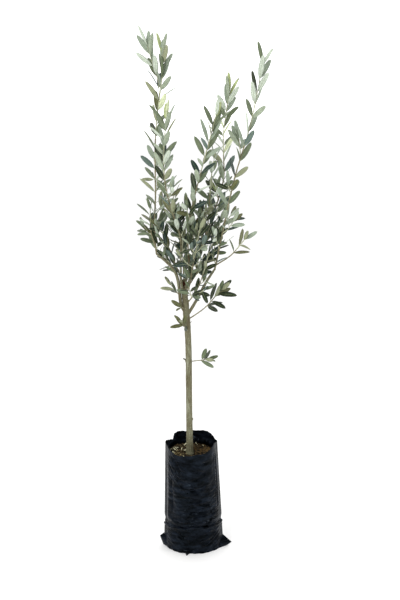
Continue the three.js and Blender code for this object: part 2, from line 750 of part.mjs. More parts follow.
// The compost's uneven top, level under the trunk's foot
function soilHeight(degrees, share) {
  const angle = radians(degrees);
  const swell = SOIL_WAVES.reduce((sum, wave) => sum + wave.size * Math.sin(wave.count * angle + wave.start), 0);
  return SOIL_TOP + SOIL_RISE * (SOIL_EDGE + swell) * share;
}

function soilSolid() {
  const inset = BAG_WALL + GAP;
  const top = (share) => {
    const ring = [];
    for (let side = 0; side < BAG_SIDES; side += 1) {
      const degrees = (360 * side) / BAG_SIDES;
      const z = soilHeight(degrees, share);
      const edge = filmPoint(degrees, z, inset);
      const centre = new THREE.Vector3(TRUNK_FOOT[0], TRUNK_FOOT[1], z);
      ring.push(centre.lerp(edge, share).setZ(z));
    }
    return ring;
  };
  const pad = filmRing(SOIL_TOP, 0).map((point) => {
    const centre = new THREE.Vector3(TRUNK_FOOT[0], TRUNK_FOOT[1], SOIL_TOP);
    return centre.clone().add(point.sub(centre).setLength(SOIL_PAD));
  });
  const sides = SOIL_ROWS.map((z) => filmRing(z, inset));
  return toSolid(skinRings([
    filmRing(BAG_FLOOR + GAP, inset + 1),
    ...sides,
    top(1),
    ...SOIL_RINGS.map(top),
    pad,
  ]));
}

// The whole plant

const bark = new THREE.MeshStandardMaterial({ name: "bark", color: 0x7a7565, roughness: 0.85, metalness: 0 });
const leaf = new THREE.MeshStandardMaterial({ name: "leaf", color: 0x7f8d6e, roughness: 0.6, metalness: 0 });
const film = new THREE.MeshStandardMaterial({ name: "film", color: 0x14181d, roughness: 0.4, metalness: 0 });
const compost = new THREE.MeshStandardMaterial({ name: "compost", color: 0x4c3a29, roughness: 1, metalness: 0 });

function namedMesh(name, solid, material) {
  const mesh = new THREE.Mesh(toGeometry(solid), material);
  mesh.name = name;
  return mesh;
}

function oliveTree() {
  const tree = new THREE.Group();
  const limbs = growLimbs();
  for (const [name, solid] of Object.entries(limbSolids(limbs))) {
    tree.add(namedMesh(name, solid, bark));
  }
  const masses = growTwigs(limbs);
  for (const mass of masses) {
    tree.add(namedMesh(mass.name, massSolid(mass, masses, limbs), leaf));
  }
  tree.add(namedMesh("bag", bagSolid(), film));
  tree.add(namedMesh("soil", soilSolid(), compost));
  return tree;
}

export default oliveTree();
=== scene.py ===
# A young olive tree, 1.5 m tall, in a plain black film nursery bag filled with bark compost.
# The plant grows here by the same seeded rule and in the same millimetres as its solids. It is then carried
# on to finer twigs and more leaves. Meshes are in metres, in the solids' frame: +Z up, +X right, +Y back.

import json
import math
from dataclasses import dataclass, field

import bpy
import numpy as np
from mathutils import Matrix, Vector, noise

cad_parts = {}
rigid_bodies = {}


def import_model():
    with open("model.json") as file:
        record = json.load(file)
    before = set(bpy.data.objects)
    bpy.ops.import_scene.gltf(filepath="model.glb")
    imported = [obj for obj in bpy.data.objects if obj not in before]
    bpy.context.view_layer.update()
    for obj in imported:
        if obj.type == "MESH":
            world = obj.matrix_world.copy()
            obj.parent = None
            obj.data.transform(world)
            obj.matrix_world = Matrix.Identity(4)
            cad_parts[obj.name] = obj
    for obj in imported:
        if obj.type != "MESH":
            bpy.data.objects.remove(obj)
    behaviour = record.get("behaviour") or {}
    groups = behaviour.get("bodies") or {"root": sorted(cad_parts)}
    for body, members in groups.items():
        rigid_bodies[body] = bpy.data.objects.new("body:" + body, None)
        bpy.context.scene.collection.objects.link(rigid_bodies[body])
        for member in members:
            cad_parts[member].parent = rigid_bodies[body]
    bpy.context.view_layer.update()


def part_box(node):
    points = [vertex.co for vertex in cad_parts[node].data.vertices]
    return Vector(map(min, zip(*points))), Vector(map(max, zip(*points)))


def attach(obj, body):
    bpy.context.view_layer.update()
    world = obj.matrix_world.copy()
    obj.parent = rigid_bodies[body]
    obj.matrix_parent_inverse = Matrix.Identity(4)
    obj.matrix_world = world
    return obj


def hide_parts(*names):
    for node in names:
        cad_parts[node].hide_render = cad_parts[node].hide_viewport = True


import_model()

MM = 0.001

# The camera stands in front and a little above the crown's foot
CAMERA_PLACE = (0.019, -2.3, 1.308)
CAMERA_PITCH = 13.3
CAMERA_LENS = 49.84

# The bag is a tube of film, so its girth is the same at every height
FILM_RADIUS = 235 / math.pi
BAG_HALF_WIDTH_FOOT = 87
BAG_HALF_WIDTH_RIM = 73.5
BAG_SHIFT_RIM = -7
RIM_HEIGHT = 340
CREASE_OUT = 4
CREASE_SPREAD = 9
FOOT_ROLL = 9
FOOT_TUCK = 3.5
TIE_HEIGHT = 88
TIE_PINCH = 2.5
TIE_REACH = 9

# The rim's cut edge, as headings from the right towards the back with their heights. It steps down at the
# back left and dips at the front.
RIM = [
    (0, 336), (12, 333), (33, 339), (47, 344), (66, 341), (85, 338), (103, 337), (126, 341), (136, 337),
    (140, 320), (155, 327), (172, 333), (185, 332), (200, 328), (213, 324), (228, 317), (244, 316),
    (267, 320), (290, 323), (306, 323), (315, 327), (324, 333), (336, 339), (348, 338), (360, 336),
]

# The two corners of the bag's bottom seam stand out as ears
EARS = [
    dict(tip=(-103, -2, 28), heel=(-93, -5, 0), side=180, spread=(-18, 40), top=38),
    dict(tip=(115.5, -8, 10), heel=(100, -12, 0), side=0, spread=(-46, 12), top=32),
]

# The compost fills the bag to a little under its rim, with a swelling and dipping edge
SOIL_TOP = 296.15
SOIL_RISE = 4
SOIL_EDGE = 0.6
SOIL_WAVES = [(0.5, 1, 0), (0.3, 3, 1), (0.2, 5, 2)]

# Limbs lean by angles from upright, in degrees, read evenly along their length: right (+X) and back (+Y)
STEP = 5
TRUNK_FOOT = (-11, 0, 296.5)
FLARE = 2.2
FLARE_HEIGHT = 11
LIMBS = [
    dict(name="trunk", parent=None, at=0, right=[-1, 0, -7], back=[0, 0],
         length=527, radii=[10, 9, 9.1, 8.6]),
    dict(name="bough_left", parent="trunk", at=0.815, right=[-40, -3, -9, -45, -54], back=[-11, 13],
         length=201, radii=[5, 4.2, 3.2]),
    dict(name="bough_right", parent="trunk", at=0.8, right=[34, 25, 33], back=[-1, -22],
         length=166, radii=[4.8, 4, 3.1]),
    dict(name="bough_inner", parent="trunk", at=0.925, right=[-22, 0, 0], back=[-35, -2, -6],
         length=115, radii=[3.8, 2.8]),
    dict(name="bough_front", parent="trunk", at=0.955, right=[48, -3, -8], back=[-40, -6, -11],
         length=109, radii=[3.8, 2.8]),
    dict(name="bough_back", parent="trunk", at=0.965, right=[24, 23, 25], back=[33, 12, 2],
         length=101, radii=[3.8, 2.9]),
]

# Masses of foliage. bare: the length of stem under the first leaves. pitch: the length between leaf pairs.
# turn: the heading of the first pair, from the right towards the back. shoots: the chance that a leaf's place
# bears a side shoot at the mass's foot, the share of the stem where they end, and their least and most pairs.
# leaf: the size of the mass's leaves beside the crown's. light: how far they turn to the light, where that is
# not LIGHT_TURN. Forks are strong side stems of the same mass.
LEADER_SHOOTS = dict(chance=0.55, end=0.6, pairs=(2, 3))
LEFT_SHOOTS = dict(LEADER_SHOOTS, end=0.45)
RIGHT_SHOOTS = dict(LEADER_SHOOTS, end=0.5)
HEART_SHOOTS = dict(chance=0.95, end=1.6, pairs=(2, 4))
NO_SHOOTS = dict(chance=0, end=1, pairs=(1, 1))
HEART = dict(parent="trunk", radii=[2.6, 1.4], pitch=24, light=0.45, shoots=HEART_SHOOTS)
SMALL = dict(parent="trunk", radii=[2, 1.4], light=0.45, shoots=NO_SHOOTS)
MASSES = [
    dict(name="left_leader", parent="bough_left", at=1, right=[-8, 4, -2, 3, 10, -2], back=[-1, 15, -5],
         length=546, radii=[3.2, 1.5], bare=12, pitch=33, turn=130, shoots=LEFT_SHOOTS, forks=[
             dict(at=0.79, right=[3, -20, -14], back=[2, 4], length=140, bare=24, pitch=31, turn=30),
             dict(at=0.03, right=[-30, 4, -6], back=[-22, 2], length=112, bare=14, pitch=27, turn=80),
         ]),
    dict(name="inner_leader", parent="bough_inner", at=1, right=[9, -21, -11, 2, 7], back=[-12, -10, 3],
         length=381, radii=[2.9, 1.5], bare=8, pitch=25, turn=25, shoots=LEADER_SHOOTS),
    dict(name="front_leader", parent="bough_front", at=1, right=[-5, 13, 15, 15], back=[-3, -21, 0],
         length=393, radii=[2.9, 1.5], bare=8, pitch=25, turn=65, shoots=LEADER_SHOOTS),
    dict(name="back_leader", parent="bough_back", at=1, right=[27, 19, 19, -6, 6, 11], back=[7, 19, -7],
         length=463, radii=[3, 1.5], bare=10, pitch=27, turn=40, shoots=LEADER_SHOOTS, forks=[
             dict(at=0.03, right=[24, 1, 9], back=[-15, 0, 0], length=253, bare=26, pitch=29, turn=0),
         ]),
    dict(name="right_leader", parent="bough_right", at=1, right=[11, 11, 12, 18, 11, 10], back=[-9, -3, 2],
         length=560, radii=[3.2, 1.5], bare=14, pitch=42, turn=150, shoots=RIGHT_SHOOTS, forks=[
             dict(at=0.57, right=[27, -6, -37], back=[26, 12], length=51, bare=20, pitch=16, turn=60),
             dict(at=0.02, right=[50, 55, 22], back=[-35, -13], length=113, bare=64, pitch=24, turn=20,
                  light=0.55),
         ]),
    dict(HEART, name="heart_left", at=0.94, right=[-17, -20, -20, -16], back=[34, -16, -13],
         length=205, bare=42, turn=70),
    dict(HEART, name="heart_front", at=0.9, right=[23, 7, 12, 8], back=[-36, -16, -13],
         length=225, bare=66, turn=20),
    dict(HEART, name="heart_back", at=0.91, right=[-5, -3, -7, -7], back=[40, 10, 6],
         length=225, bare=56, turn=10),
    dict(HEART, name="heart_right", at=0.93, right=[35, 31, 27, 11], back=[23, -4, 5],
         length=225, bare=56, turn=100),
    dict(HEART, name="heart_middle", at=0.985, right=[28, 20, 18, 8], back=[-4, -5, -2],
         length=205, radii=[2.4, 1.4], bare=48, pitch=25, turn=45),
    dict(HEART, name="fork_shoot", at=0.86, right=[46, 20, 20, 7], back=[-41, -11, -18],
         length=188, radii=[2.5, 1.4], bare=34, pitch=27, turn=35, shoots=LEADER_SHOOTS),
    dict(SMALL, name="left_twig", at=0.87, right=[-41, -39, -38], back=[41, -10],
         length=66, bare=36, pitch=15, turn=105, leaf=0.82),
    dict(SMALL, name="right_twig", at=0.775, right=[50, 54, 24], back=[-17, -13],
         length=133, radii=[2.5, 1.4], bare=72, pitch=20, turn=60, leaf=1.2, light=0.85),
    dict(SMALL, name="low_left_twig", at=0.715, right=[-38, -16], back=[-68, -14],
         length=46, bare=19, pitch=12, turn=90, leaf=0.95),
    dict(SMALL, name="low_right_twig", at=0.54, right=[78, 82, 80], back=[-53, -31],
         length=54, bare=34, pitch=10, turn=0, leaf=0.95, light=0.85),
    dict(SMALL, name="mid_left_twig", at=0.838, right=[-50, -56], back=[-66, -57],
         length=22, radii=[1.8, 1.4], bare=20, pitch=10, turn=80, leaf=1.15, light=0.85),
]

# Twigs run in straight spans, and their leaf pairs close up towards the tip. Side shoots open at an angle
# between two limits.
TWIG_SPAN = 55
TIP_STUB = 2
TIP_PITCH = 0.5
TIP_POWER = 4
PITCH_SPREAD = 0.14
FORK_THICKNESS = 0.85
SHOOT_RADII = [1.6, 1.4]
LEAF_SINK = 0.35
SHOOT_OPEN = (34, 54)
SHOOT_PITCH = 15
SHOOT_BARE = 14
SHOOT_LIFT = 0.4
SHOOT_CLEAR = 5
SECOND_SHOOT = 0.7

# Leaves: longer towards the top of the tree, narrow, and opened from the twig by these angles. Each blade is
# rolled at random and turned partly to the light in front.
LEAF_LOW = dict(height=838, length=47, width=14)
LEAF_HIGH = dict(height=1408, length=70, width=15.5)
LEAF_SPREAD = 0.16
LEAF_OPEN_LOW = (30, 72)
LEAF_OPEN_HIGH = (9, 38)
LEAF_ROLL = 42
LIGHT_TURN = 0.25
LEAF_CURL = 0.07
SHOOT_LEAF = 0.92
TIP_LEAF = 0.8
TIP_OPEN = (10, 24)
PAIR_TURN = 90
TURN_SPREAD = 16
# Changes tried in turn until a leaf finds room: its added turn, and shares of its opening and its length
LEAF_TRIES = [
    (0, 1, 1), (35, 1, 1), (-35, 1, 1), (15, 0.55, 0.92), (75, 1, 0.88), (-75, 1, 0.88), (-15, 0.4, 0.8),
]
LEAF_STAGGER = 4
LEAF_STATIONS = (0.3, 0.72)
LEAF_FULLNESS = (0.92, 0.84)
LEAF_CROSS = np.array([0.1, 0.25, 0.4, 0.55, 0.7, 0.85, 1])
LEAF_MIDLINE = (0.15, 0.5, 0.85)
SPACE_MARGIN = 0.7
LIMB_MARGIN = 1.5

# Finer growth that only the looks have: leaves at places the solids leave bare, and short spurs in leaf axils
FINE_SEED = 101
FILL_TRIES = [(0, 1, 0.9), (25, 0.8, 0.8), (-25, 0.8, 0.8), (50, 0.6, 0.7), (-50, 0.6, 0.7)]
FILL_MARGIN = -3.0
SPUR_TRIES = FILL_TRIES[:3]
SPUR_CHANCE = {"heart": 0.24, "leader": 0.14}
SPUR_END = {"heart": 1, "leader": 0.55}
SPUR_OPEN = (32, 58)
SPUR_TURN = 20
SPUR_BARE = 8
SPUR_PITCH = 9
SPUR_PAIRS = (1, 3)
SPUR_RADII = [0.9, 0.6]
SPUR_LEAF = 0.7
SPUR_STAGGER = 1.5
SPUR_CLEAR = 3
TWIG_ROUND = 0.8
REACH_SLACK = 2

UP = np.array([0.0, 0.0, 1.0])
BACK = np.array([0.0, 1.0, 0.0])
LIGHT = np.array([-0.25, -1.0, 0.35])


def mix(low, high, share):
    return low + (high - low) * share


def unit(vector):
    return vector / np.linalg.norm(vector)


class Stream:
    """A repeatable stream of numbers from 0 to 1."""

    def __init__(self, seed):
        self.state = 1 + seed * 104729
        self.draw()
        self.draw()

    def draw(self):
        self.state = self.state * 48271 % 2147483647
        return self.state / 2147483647

    def between(self, low, high):
        return mix(low, high, self.draw())


def read_along(values, share):
    """Reads a list of values evenly along a share from 0 to 1."""
    place = share * (len(values) - 1)
    index = min(int(place), len(values) - 2)
    return mix(values[index], values[index + 1], place - index)


def leaning_line(foot, right, back, length):
    """The line of a limb or stem: short steps whose direction follows the lean lists."""
    count = max(2, int(length / STEP + 0.5))
    points = [np.array(foot, float)]
    for index in range(count):
        share = (index + 0.5) / count
        to_right = math.tan(math.radians(read_along(right, share)))
        to_back = math.tan(math.radians(read_along(back, share)))
        points.append(points[-1] + unit(np.array([to_right, to_back, 1])) * length / count)
    return points


def heading_vector(direction, degrees):
    """A direction square to another one, at a heading from the right towards the back."""
    to_back = unit(BACK - direction * BACK.dot(direction))
    to_right = np.cross(to_back, direction)
    angle = math.radians(degrees)
    return to_right * math.cos(angle) + to_back * math.sin(angle)


def turned(vector, axis, angle):
    """A vector turned about an axis by an angle in radians."""
    along = axis * axis.dot(vector) * (1 - math.cos(angle))
    return vector * math.cos(angle) + np.cross(axis, vector) * math.sin(angle) + along


# Limbs

@dataclass
class Limb:
    name: str
    parent: str
    length: float
    radii: list
    line: list

    def radius(self, share):
        flare = 0 if self.parent else FLARE * math.exp(-share * self.length / FLARE_HEIGHT)
        return read_along(self.radii, share) + flare


def grow_limbs():
    limbs = {}
    for values in LIMBS:
        parent = values["parent"]
        foot = read_along(limbs[parent].line, values["at"]) if parent else TRUNK_FOOT
        line = leaning_line(foot, values["right"], values["back"], values["length"])
        limbs[values["name"]] = Limb(values["name"], parent, values["length"], values["radii"], line)
    return limbs


# Twigs

@dataclass
class Pair:
    """A place on a twig where two leaves sit opposite each other."""
    point: np.ndarray
    axis: np.ndarray
    radius: float
    share: float


@dataclass
class Twig:
    points: list
    radii: list
    pairs: list
    turn: float = 0
    light: float = LIGHT_TURN
    leaf_scale: float = 1
    kind: str = "stem"
    bearing: list = field(default_factory=list)


def make_twig(points, radii, places, **more):
    """A run of straight spans, with its leaf pairs on the spans."""
    spans = [float(np.linalg.norm(after - before)) for before, after in zip(points, points[1:])]
    length = sum(spans)
    pairs = []
    for place in places:
        index = 0
        start = 0.0
        while index < len(spans) - 1 and start + spans[index] < place:
            start += spans[index]
            index += 1
        point = mix(points[index], points[index + 1], (place - start) / spans[index])
        axis = unit(points[index + 1] - points[index])
        pairs.append(Pair(point, axis, mix(*radii, place / length), place / length))
    corners = np.concatenate([[0], np.cumsum(spans)]) / length
    return Twig(points, [mix(*radii, share) for share in corners], pairs, **more)


def stem_twig(line, values, radii, leaf_scale, stream):
    length = values["length"]
    count = max(1, int(length / TWIG_SPAN + 0.5))
    points = [read_along(line, index / count) for index in range(count + 1)]
    places = []
    place = values["bare"]
    while place < length - values["pitch"] * TIP_PITCH:
        places.append(place)
        closing = mix(1, TIP_PITCH, (place / length) ** TIP_POWER)
        place += values["pitch"] * closing * stream.between(1 - PITCH_SPREAD, 1 + PITCH_SPREAD)
    places.append(length - TIP_STUB)
    light = values.get("light", LIGHT_TURN)
    return make_twig(points, radii, places, turn=values["turn"], light=light, leaf_scale=leaf_scale)


def shoot_twig(pair, pair_count, opening, heading, bare, pitch, radii, **more):
    """A side shoot that leaves a leaf pair at an angle and turns gently upward."""
    radial = heading_vector(pair.axis, heading)
    course = pair.axis * math.cos(opening) + radial * math.sin(opening)
    half = (bare + pitch * (pair_count - 1) + TIP_STUB) / 2
    points = [pair.point, pair.point + course * half]
    points.append(points[1] + unit(course + UP * SHOOT_LIFT) * half)
    places = [bare + pitch * index for index in range(pair_count)]
    return make_twig(points, radii, places, turn=heading + PAIR_TURN, **more)


def sample_twig(twig):
    """Points along a twig, close enough to stand for its line."""
    samples = []
    for before, after in zip(twig.points, twig.points[1:]):
        count = max(1, int(np.linalg.norm(after - before) / STEP + 0.5))
        samples += [mix(before, after, part / count) for part in range(count)]
    return samples + [twig.points[-1]]


@dataclass
class Mass:
    name: str
    shoots: dict
    stream: Stream
    twigs: list
    samples: np.ndarray
    leaves: list = field(default_factory=list)


def nearest(points, samples):
    """The distance of each point from the nearest of some samples."""
    gaps = points[:, None, :] - samples[None, :, :]
    return np.sqrt((gaps ** 2).sum(2).min(1))


def grow_stems(values, index, limbs):
    stream = Stream(index + 1)
    foot = read_along(limbs[values["parent"]].line, values["at"])
    main = leaning_line(foot, values["right"], values["back"], values["length"])
    leaf_scale = values.get("leaf", 1)
    twigs = [stem_twig(main, values, values["radii"], leaf_scale, stream)]
    for fork in values.get("forks", []):
        line = leaning_line(read_along(main, fork["at"]), fork["right"], fork["back"], fork["length"])
        radii = [mix(*values["radii"], fork["at"]) * FORK_THICKNESS, values["radii"][1]]
        twigs.append(stem_twig(line, fork, radii, leaf_scale, stream))
    samples = np.array([sample for twig in twigs for sample in sample_twig(twig)])
    return Mass(values["name"], values["shoots"], stream, twigs, samples)


class Plant:
    """The limbs and masses, and the rule that keeps each mass to its own space."""

    def __init__(self):
        self.limbs = grow_limbs()
        self.limb_points = np.array([point for limb in self.limbs.values() for point in limb.line])
        self.limb_radii = np.array([
            limb.radius(index / (len(limb.line) - 1))
            for limb in self.limbs.values()
            for index in range(len(limb.line))
        ])
        self.masses = [grow_stems(values, index, self.limbs) for index, values in enumerate(MASSES)]

    def clear_of_limbs(self, points, margin):
        gaps = np.sqrt(((points[:, None, :] - self.limb_points[None]) ** 2).sum(2))
        return bool((gaps >= self.limb_radii + margin).all())

    def others(self, mass):
        return [other for other in self.masses if other is not mass]

    def in_own_space(self, points, mass, margin):
        """Whether points lie nearer to the mass's own twigs than to those of any other mass."""
        own = nearest(points, mass.samples) + margin
        return all((nearest(points, other.samples) > own).all() for other in self.others(mass))

    def shoot_fits(self, reach, mass):
        away = all(nearest(reach, other.samples).min() > SHOOT_CLEAR for other in self.others(mass))
        own = nearest(reach, mass.samples).min() > SHOOT_CLEAR / 2
        return away and own and self.clear_of_limbs(reach, SHOOT_CLEAR)


def grow_shoots(plant, mass):
    stream = mass.stream
    for stem in list(mass.twigs):
        for order, pair in enumerate(stem.pairs[:-1]):
            chance = mass.shoots["chance"] * (1 - pair.share / mass.shoots["end"])
            wanted = [stream.draw() < chance, stream.draw() < chance * SECOND_SHOOT]
            for side, grows in enumerate(wanted):
                opening = math.radians(stream.between(*SHOOT_OPEN))
                pair_count = int(stream.between(*mass.shoots["pairs"]) + 0.5)
                heading = stem.turn + PAIR_TURN * order + 180 * side
                twig = shoot_twig(pair, pair_count, opening, heading, SHOOT_BARE, SHOOT_PITCH, SHOOT_RADII,
                                  light=stem.light, leaf_scale=SHOOT_LEAF, kind="shoot")
                reach = np.array(sample_twig(twig)[2:])
                if grows and plant.shoot_fits(reach, mass):
                    mass.twigs.append(twig)
                    mass.samples = np.concatenate([mass.samples, reach])
                    stem.bearing.append(2 * order + side)


# Leaves

@dataclass
class Leaf:
    root: np.ndarray
    direction: np.ndarray
    face: np.ndarray
    across: np.ndarray
    length: float
    width: float
    at_tip: bool = False

    def point(self, along, out):
        """A point of the blade: along from root to tip, out to one side, with the tip curled back."""
        away = self.direction * along * self.length + self.across * out * self.width
        return self.root + away - self.face * LEAF_CURL * self.length * along * along


def crown_share(height):
    """How far up the crown a height is, from 0 to 1."""
    share = (height - LEAF_LOW["height"]) / (LEAF_HIGH["height"] - LEAF_LOW["height"])
    return min(max(share, 0), 1)


def leaf_size(pair, twig, at_tip, stream):
    up = crown_share(pair.point[2])
    smaller = twig.leaf_scale * (TIP_LEAF if at_tip else 1)
    spread = stream.draw()
    opening = mix(mix(*LEAF_OPEN_LOW, spread), mix(*LEAF_OPEN_HIGH, spread), up)
    return dict(
        opening=math.radians(mix(*TIP_OPEN, spread) if at_tip else opening),
        roll=math.radians(stream.between(-LEAF_ROLL, LEAF_ROLL)),
        length=mix(LEAF_LOW["length"], LEAF_HIGH["length"], up) * smaller
        * stream.between(1 - LEAF_SPREAD, 1 + LEAF_SPREAD),
        width=mix(LEAF_LOW["width"], LEAF_HIGH["width"], up) * smaller,
        light=twig.light,
    )


def turn_to_light(direction, face):
    """The turn about its own direction that would bring a face, or its underside, square to the light."""
    aim = unit(LIGHT - direction * LIGHT.dot(direction))
    aside = np.cross(face, aim).dot(direction)
    return math.copysign(math.asin(min(max(aside, -1), 1)), aside * face.dot(aim))


def place_leaf(pair, heading, rise, size, change):
    """A leaf's place, turned partly to the light, with its turn, opening and length changed to find room."""
    turn, opening, length = change
    radial = heading_vector(pair.axis, heading + turn)
    along = math.cos(size["opening"] * opening)
    aside = math.sin(size["opening"] * opening)
    direction = pair.axis * along + radial * aside
    plain = pair.axis * aside - radial * along
    face = turned(plain, direction, size["roll"] + size["light"] * turn_to_light(direction, plain))
    root = pair.point + pair.axis * rise - direction * LEAF_SINK * pair.radius
    across = np.cross(direction, face)
    return Leaf(root, direction, face, across, size["length"] * length, size["width"] * length)


def leaf_test_points(leaf):
    edges = [
        leaf.point(along, side * full / 2)
        for along, full in zip(LEAF_STATIONS, LEAF_FULLNESS)
        for side in (-1, 1)
    ]
    middle = [leaf.point(along, 0) for along in (*LEAF_MIDLINE, 1)]
    return np.array([*edges, *middle, leaf.point(0.5, 0.5), leaf.point(0.5, -0.5)])


def cuts_through(leaf, other):
    """Whether the midline or an edge of one leaf passes through the blade of another."""
    for out in (-0.5, 0, 0.5):
        points = np.array([leaf.point(along, 0 if along == 1 else out) for along in LEAF_CROSS]) - other.root
        along = points @ other.direction / other.length
        above = points @ other.face + LEAF_CURL * other.length * along ** 2
        inside = (along > LEAF_CROSS[0]) & (along < 1) & (abs(points @ other.across) < other.width / 2)
        if ((above[1:] * above[:-1] < 0) & inside[1:] & inside[:-1]).any():
            return True
    return False


def crosses_leaf(leaf, others):
    return any(
        np.linalg.norm(leaf.root - other.root) < leaf.length + other.length
        and (cuts_through(leaf, other) or cuts_through(other, leaf))
        for other in others
    )


def leaf_fits(plant, mass, leaf, margin):
    points = leaf_test_points(leaf)
    return plant.in_own_space(points, mass, margin) and plant.clear_of_limbs(points, LIMB_MARGIN)


def first_fitting(plant, mass, place, changes, margin):
    """The first of a place's leaves that keeps to the mass's space and crosses none of its leaves."""
    for change in changes:
        leaf = place_leaf(*place, change)
        if leaf_fits(plant, mass, leaf, margin) and not crosses_leaf(leaf, mass.leaves):
            return leaf
    return None


def grow_leaves(plant, mass):
    """Both leaves of each pair, unless a side shoot has taken a leaf's place or it finds no room."""
    empty = []
    for twig in mass.twigs:
        for order, pair in enumerate(twig.pairs):
            at_tip = order == len(twig.pairs) - 1
            turn = twig.turn + PAIR_TURN * order + mass.stream.between(-TURN_SPREAD, TURN_SPREAD)
            for side in (0, 1):
                size = leaf_size(pair, twig, at_tip, mass.stream)
                if 2 * order + side in twig.bearing:
                    continue
                place = (pair, turn + 180 * side, LEAF_STAGGER * side, size)
                leaf = first_fitting(plant, mass, place, LEAF_TRIES, SPACE_MARGIN)
                if leaf:
                    leaf.at_tip = at_tip and twig.kind == "stem"
                    mass.leaves.append(leaf)
                else:
                    empty.append(place)
    return empty


def fill_leaves(plant, mass, empty):
    """Smaller leaves at the places that the solids leave bare."""
    for place in empty:
        leaf = first_fitting(plant, mass, place, FILL_TRIES, FILL_MARGIN)
        if leaf:
            mass.leaves.append(leaf)


def grow_spurs(plant, mass, index):
    """Short fine shoots in the leaf axils of the mass's lower part, within the space its solid reaches."""
    stream = Stream(FINE_SEED + index)
    low, high = (np.array(corner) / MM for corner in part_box(mass.name))
    kind = "heart" if mass.name.startswith(("heart", "fork")) else "leader"
    for twig in list(mass.twigs):
        for order, pair in enumerate(twig.pairs[:-1]):
            for side in (0, 1):
                wanted = stream.draw() < SPUR_CHANCE[kind] * (1 - pair.share / SPUR_END[kind])
                opening = math.radians(stream.between(*SPUR_OPEN))
                pair_count = int(stream.between(*SPUR_PAIRS) + 0.5)
                heading = twig.turn + PAIR_TURN * order + 180 * side + stream.between(-SPUR_TURN, SPUR_TURN)
                if not wanted:
                    continue
                spur = shoot_twig(pair, pair_count, opening, heading, SPUR_BARE, SPUR_PITCH, SPUR_RADII,
                                  light=twig.light, leaf_scale=SPUR_LEAF, kind="spur")
                reach = np.array(sample_twig(spur)[1:])
                inside = (reach > low + REACH_SLACK).all() and (reach < high - REACH_SLACK).all()
                if inside and plant.in_own_space(reach, mass, 0) and plant.clear_of_limbs(reach, SPUR_CLEAR):
                    mass.twigs.append(spur)
                    grow_spur_leaves(plant, mass, spur, stream, low, high)


def grow_spur_leaves(plant, mass, spur, stream, low, high):
    for order, pair in enumerate(spur.pairs):
        at_tip = order == len(spur.pairs) - 1
        for side in (0, 1):
            size = leaf_size(pair, spur, at_tip, stream)
            place = (pair, spur.turn + PAIR_TURN * order + 180 * side, SPUR_STAGGER * side, size)
            leaf = first_fitting(plant, mass, place, SPUR_TRIES, FILL_MARGIN)
            if leaf and (leaf.point(1, 0) > low).all() and (leaf.point(1, 0) < high).all():
                mass.leaves.append(leaf)


def grow_plant():
    plant = Plant()
    for mass in plant.masses:
        grow_shoots(plant, mass)
    for index, mass in enumerate(plant.masses):
        empty = grow_leaves(plant, mass)
        fill_leaves(plant, mass, empty)
        grow_spurs(plant, mass, index)
    return plant


# Materials

def srgb(red, green, blue):
    """A base colour from its everyday values, 0 to 255."""
    shares = [value / 255 for value in (red, green, blue)]
    linear = [share / 12.92 if share < 0.0405 else ((share + 0.055) / 1.055) ** 2.4 for share in shares]
    return (*linear, 1)


def shade(colour, factor):
    return (*(min(1, value * factor) for value in colour[:3]), 1)


def fill_inputs(tree, node, inputs):
    """Links the inputs whose values are another node's output, and sets the others."""
    for name, value in inputs.items():
        if isinstance(value, bpy.types.NodeSocket):
            tree.links.new(value, node.inputs[name])
        else:
            node.inputs[name].default_value = value


# The colour sockets of a mix node have no names of their own
MIX_FIRST, MIX_SECOND, MIX_RESULT = 6, 7, 2


